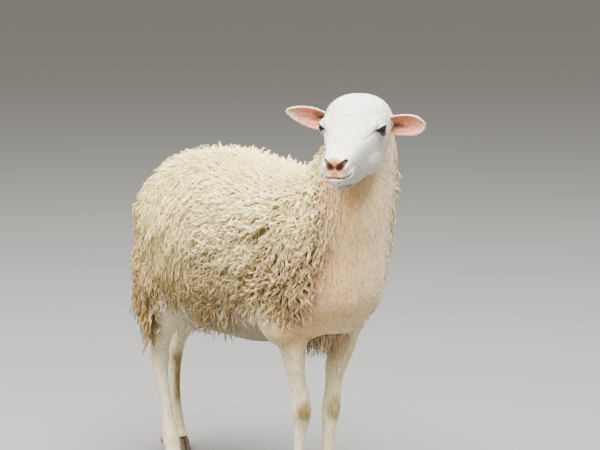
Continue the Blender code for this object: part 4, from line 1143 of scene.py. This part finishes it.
# the fleece lies in loose tiers and hollows, with a parting in front of the thigh
tiers = np.clip(0.5 + 1.1 * wander(at, 0.034, 5.0), 0, 1)
parting = bell(at[:, 0] + 0.032 + 0.25 * (at[:, 2] - 0.45) ** 2, 0.010)
parting *= ease(0.37, 0.40, at[:, 2]) * (1 - ease(0.52, 0.58, at[:, 2]))
height = coat_depth(roots) * (0.30 + 0.64 * np.clip(0.75 * tiers + 0.40 * rng.random(count), 0, 1))
height *= 1 - 0.75 * parting
veer = 0.9 * wander(at, 0.045, 3.0) + rng.normal(0, 0.26, count) + 0.7 * wander(at, 0.015, 9.0)
veer *= 1 - 0.45 * rear
hang = (at[:, 2] < 0.44) & (rng.random(count) < 0.8)
paths, outs = guides(roots, length, height, veer, hang, STEPS)
# crimp: each lock sways from side to side and a little in and out, least at its root
t = np.linspace(0, 1, STEPS + 1)
across = sideways(paths, outs)
sway = rng.uniform(0.0018, 0.0040, count) * (1 + 0.3 * curly) * (1 - 0.3 * top)
waves = length / (CRIMP + 0.004 * wander(at, 0.05, 8.0) + rng.uniform(-0.002, 0.002, count))
start = 7.0 * wander(at, 0.040, 2.0) + rng.normal(0, 1.0, count)
swing = np.sin(2 * np.pi * waves[:, None] * t + start[:, None]) - np.sin(start)[:, None]
bob = np.cos(2 * np.pi * waves[:, None] * t * 0.9 + 1.7 * start[:, None])
grow = np.minimum(1.0, 2.2 * t)
paths += across * (sway[:, None] * grow * swing)[:, :, None]
paths += outs * ((0.0018 + 0.0014 * curly)[:, None] * grow * bob)[:, :, None]
nape = ease(0.50, 0.56, at[:, 2]) * ease(0.12, 0.18, at[:, 0])
flick = (rng.random(count) < 0.25 + 0.20 * top + 0.30 * nape) * rng.uniform(0.002, 0.009, count)
flick *= 1 + 0.5 * top + 0.25 * nape
paths += outs * (flick[:, None] * ease(0.55, 1.0, t))[:, :, None]
thick = STRAND_THICK * rng.uniform(0.75, 1.30, count) * (1 - 0.20 * top) * (1.16 - 0.16 * level)
lock_tint = rng.random(count)
strands = []
for k in range(STRANDS):
    turn = 2 * np.pi * k / STRANDS + start[:, None] + rng.uniform(0.5, 2.5, (count, 1)) * t
    spread = (thick * 1.7)[:, None] * (1 - 0.55 * t)
    spread = spread + 0.0016 * np.maximum(t - 0.75, 0) * 4 * rng.random((count, 1))
    strands.append(paths + across * (spread * np.cos(turn))[:, :, None]
                   + outs * (spread * 0.7 * np.sin(turn))[:, :, None])
thirds = np.digitize(at[:, 0], (-0.235, -0.03))
region = np.where(up[:, 2] > 0.70, 2 * (at[:, 0] > -0.08), np.where(at[:, 1] < 0, 4, 8) + thirds)
REGIONS = {0: "wool_croup", 2: "wool_back",
           4: "wool_right_rump", 5: "wool_right_flank", 6: "wool_right_shoulder",
           8: "wool_left_rump", 9: "wool_left_flank", 10: "wool_left_shoulder"}
for number, name in REGIONS.items():
    wool_piece(name, roots, np.nonzero(region == number)[0], strands, outs, thick, lock_tint)

# loose curls over the locks: thin, short and springy, so that the coat's edge is never hard
roots = scatter(all_marks["wool"] ** 3, STRAY_SPACING * FINE)
count = len(roots["at"])
at, up = roots["at"], roots["way_out"]
top = ease(0.45, 0.85, up[:, 2])
length = rng.uniform(0.016, 0.034, count) * (1 - 0.25 * top)
height = coat_depth(roots) * rng.uniform(0.70, 1.08, count) + 0.003 * top * rng.random(count)
veer = rng.normal(0, 0.9, count)
STRAY = 6
paths, outs = guides(roots, length, height, veer, at[:, 2] < 0, STRAY)
t = np.linspace(0, 1, STRAY + 1)
paths += outs * (height[:, None] * 0.55 * (1 - t) ** 2 * np.minimum(1, 4 * t))[:, :, None]
across = sideways(paths, outs)
start = rng.uniform(0, 2 * np.pi, count)
turn = start[:, None] + 2 * np.pi * rng.uniform(0.7, 1.6, (count, 1)) * t
ring_size = (rng.uniform(0.0008, 0.0028, count)[:, None] * np.minimum(1, 1.6 * t))
paths += (across * (ring_size * np.cos(turn))[:, :, None]
          + outs * (ring_size * np.sin(turn))[:, :, None])
thick = rng.uniform(0.00045, 0.00085, count)
lock_tint = rng.random(count)
for number, name in enumerate(("stray_wool_back", "stray_wool_right", "stray_wool_left")):
    side = np.where(up[:, 2] > 0.70, 0, np.where(at[:, 1] < 0, 1, 2))
    wool_piece(name, roots, np.nonzero(side == number)[0], [paths], outs, thick, lock_tint)

# ---- short hair ----------------------------------------------------------------------
# Small flat tufts where the coat is short: half a centimetre and more on face and ears,
# about one on neck, chest and legs, two and ragged down the sides of the neck.
FACE_SPACING, NECK_SPACING, LEG_SPACING, BRISKET_SPACING = 0.0034, 0.0056, 0.0076, 0.0050


def hair_lie(points, normals, veer):
    """The way short hair lies: out from the whorl on the brow, back on the ears, down below."""
    local = in_head(points - SHIFT_ROW)
    on_head = (ease(-0.030, -0.010, local[:, 0]) * (points[:, 2] > 0.64))[:, None]
    from_whorl = local - WHORL
    from_whorl[:, 0] += 0.35 * np.maximum(local[:, 0] - 0.09, 0)
    from_whorl[:, 2] *= 0.5
    from_whorl[:, 2] -= 0.020
    face = unit(from_whorl) @ HEAD_AXES.T
    down = np.zeros_like(points)
    down[:, 2], down[:, 0] = -1.0, -0.10
    return turned(face * on_head + down * (1 - on_head), normals, veer)


short_hair = coat_material("short_hair", tint=0.30, root=0.0, bump=0.0002, sheen=0.25, streaks=0.12)


def hair_piece(name, mesh):
    """A piece of short hair in the frame."""
    mesh.materials.append(short_hair)
    piece = new_piece(name, mesh)
    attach(piece, "root")


def tufts(name, roots, length, thick, lift, veer, rings=4):
    """A piece of short hair: one tapered spike for each root."""
    at, out = roots["at"], roots["way_out"]
    way = hair_lie(at, out, veer)
    t = np.linspace(0, 1, rings)
    bow = lift[:, None] * np.sin(np.pi * np.minimum(t * 0.62, 0.5)) - thick[:, None] * (1 - t)
    middles = (at[:, None, :] + way[:, None, :] * (length[:, None] * t)[:, :, None]
               + out[:, None, :] * bow[:, :, None])
    # the hide's curve is followed, so that tips don't stand off or sink in
    tips = middles[:, -1, :]
    for i in range(len(at)):
        spot, normal, _, _ = hide_tree.find_nearest(Vector(tips[i]))
        rest = np.array(spot) + np.array(normal) * lift[i]
        middles[i] += (rest - tips[i]) * (t ** 2)[:, None]
    middles = np.clip(middles, lowest, highest)
    outs = np.repeat(out[:, None, :], rings, axis=1)
    hair_piece(name, strand_mesh(name, middles, outs, thick, roots["uv"], rng.random(len(at)),
                                 roots["marks"]))


bare = 1 - all_marks["wool"]
is_ear = np.zeros(len(spots))
is_ear[ear_start:] = 1
naked = np.maximum(np.clip(all_marks["pink"] * 1.6, 0, 1) * (1 - is_ear), marks["dark"])
eye_gap = np.min([np.linalg.norm(local - np.array(eye), axis=1) for eye in EYES], axis=0)


def off_tear(points):
    """How far points of the head's frame lie from the groove below the eye."""
    folded = np.stack([points[:, 0], np.abs(points[:, 1]), points[:, 2]], axis=1)
    return beside_line(folded, np.array(TEAR_START), np.array(TEAR_END))[1]


naked = np.maximum(naked, 1 - ease(0.0040, 0.0065, off_tear(local)))
naked = np.clip(np.maximum(naked, 1 - ease(0.0150, 0.0185, eye_gap)), 0, 1)
head_zone = all_marks["pale"] * bare * (1 - naked)
roots = scatter(head_zone * (1 - 0.6 * is_ear), FACE_SPACING * FINE)
n = len(roots["at"])
root_head = in_head(roots["at"] - SHIFT_ROW)
muzzle = ease(0.12, 0.20, root_head[:, 0])
parted = 1 - 0.55 * (1 - ease(0.009, 0.016, off_tear(root_head)))
tufts("hair_face", roots, (0.0088 - 0.0042 * muzzle) * parted * rng.uniform(0.7, 1.2, n),
      (0.00042 - 0.00014 * muzzle) * rng.uniform(0.7, 1.3, n),
      rng.uniform(0.0000, 0.0006, n) * (1 - 0.6 * muzzle), rng.normal(0, 0.16, n))
neck_zone = bare * (1 - all_marks["pale"]) * ease(0.30, 0.34, spots[:, 2]) * (spots[:, 0] > 0.05)
roots = scatter(neck_zone, NECK_SPACING * FINE)
n = len(roots["at"])
p = roots["at"] - SHIFT_ROW
ragged = ease(0.045, 0.085, np.abs(p[:, 1] - np.interp(p[:, 2], NECK_AXIS[:, 0], NECK_AXIS[:, 1])))
ragged *= ease(0.42, 0.50, p[:, 2])
tufts("hair_neck", roots, (0.0105 + 0.0035 * ease(0.36, 0.44, p[:, 2]) + 0.0120 * ragged)
      * rng.uniform(0.6, 1.25, n),
      (0.0007 + 0.0005 * ragged) * rng.uniform(0.7, 1.3, n),
      (0.0006 + 0.0075 * ragged) * rng.uniform(0.2, 1.3, n),
      0.45 * wander(roots["at"], 0.03, 5.0) + rng.normal(0, 0.22, n), rings=5)
leg_zone = bare * (1 - all_marks["pale"]) * (1 - ease(0.30, 0.34, spots[:, 2]) * (spots[:, 0] > 0.05))
roots = scatter(leg_zone, LEG_SPACING * FINE)
n = len(roots["at"])
tufts("hair_legs", roots, 0.0100 * rng.uniform(0.6, 1.2, n), 0.0006 * rng.uniform(0.7, 1.3, n),
      rng.uniform(0.0001, 0.0007, n), rng.normal(0, 0.14, n))

# tufts hang between the elbows, under the brisket, dark with dirt and painted shade
under_brisket = ease(0.35, 0.6, all_marks["grime_and_shade"]) * (spots[:, 0] > 0.135) * (facing[:, 2] < -0.2)
roots = scatter(under_brisket, BRISKET_SPACING * FINE)
n = len(roots["at"])
BRISKET_RINGS = 7
t = np.linspace(0, 1, BRISKET_RINGS)
length = rng.uniform(0.018, 0.040, n)
sway = rng.uniform(0.0008, 0.0026, n)[:, None] * np.sin(
    rng.uniform(0, 6.3, (n, 1)) + t * rng.uniform(5, 12, (n, 1)))
way = unit(np.array((-0.25, 0.0, -1.0)) + 0.35 * roots["way_out"] + rng.normal(0, 0.16, (n, 3)))
middles = (roots["at"][:, None, :] + way[:, None, :] * (length[:, None] * t)[:, :, None]
           + sway[:, :, None] * np.array((0.7, 0.7, 0.0)))
middles[:, :, 2] -= (0.25 * length[:, None] * t ** 2)
outs = np.repeat(roots["way_out"][:, None, :], BRISKET_RINGS, axis=1)
thick = rng.uniform(0.0007, 0.0013, n)
hair_piece("hair_brisket", strand_mesh("hair_brisket", middles, outs, thick, roots["uv"],
                                       rng.random(n), roots["marks"]))

# ---- floor and light -----------------------------------------------------------------
# A plain grey floor under one large soft lamp overhead and an even sky.
LAMP_SIZE, LAMP_WATTS, LAMP_AT, LAMP_AIM = 4.0, 1550.0, (0.8, -0.9, 4.1), Vector((0, 0, 0.4))
FLOOR_REACH = 80.0
lamp = bpy.data.objects.new("lamp", bpy.data.lights.new("lamp", "AREA"))
lamp.data.shape, lamp.data.size, lamp.data.energy = "SQUARE", LAMP_SIZE, LAMP_WATTS
lamp.location = LAMP_AT
lamp.rotation_euler = (LAMP_AIM - lamp.location).to_track_quat("-Z", "Y").to_euler()
bpy.context.scene.collection.objects.link(lamp)
world = bpy.data.worlds.new("sky")
bpy.context.scene.world = world
world.use_nodes = True
sky = world.node_tree.nodes["Background"].inputs
sky["Color"].default_value, sky["Strength"].default_value = linear("#FFF8EC"), 0.90
bm = bmesh.new()
bmesh.ops.create_circle(bm, cap_ends=True, segments=64, radius=FLOOR_REACH)
floor = new_piece("floor", mesh_from(bm, "floor"))
plain = bpy.data.materials.new("painted_floor")
plain.use_nodes = True
paint = plain.node_tree.nodes["Principled BSDF"].inputs
paint["Base Color"].default_value, paint["Roughness"].default_value = linear("#70706E"), 0.9
floor.data.materials.append(plain)
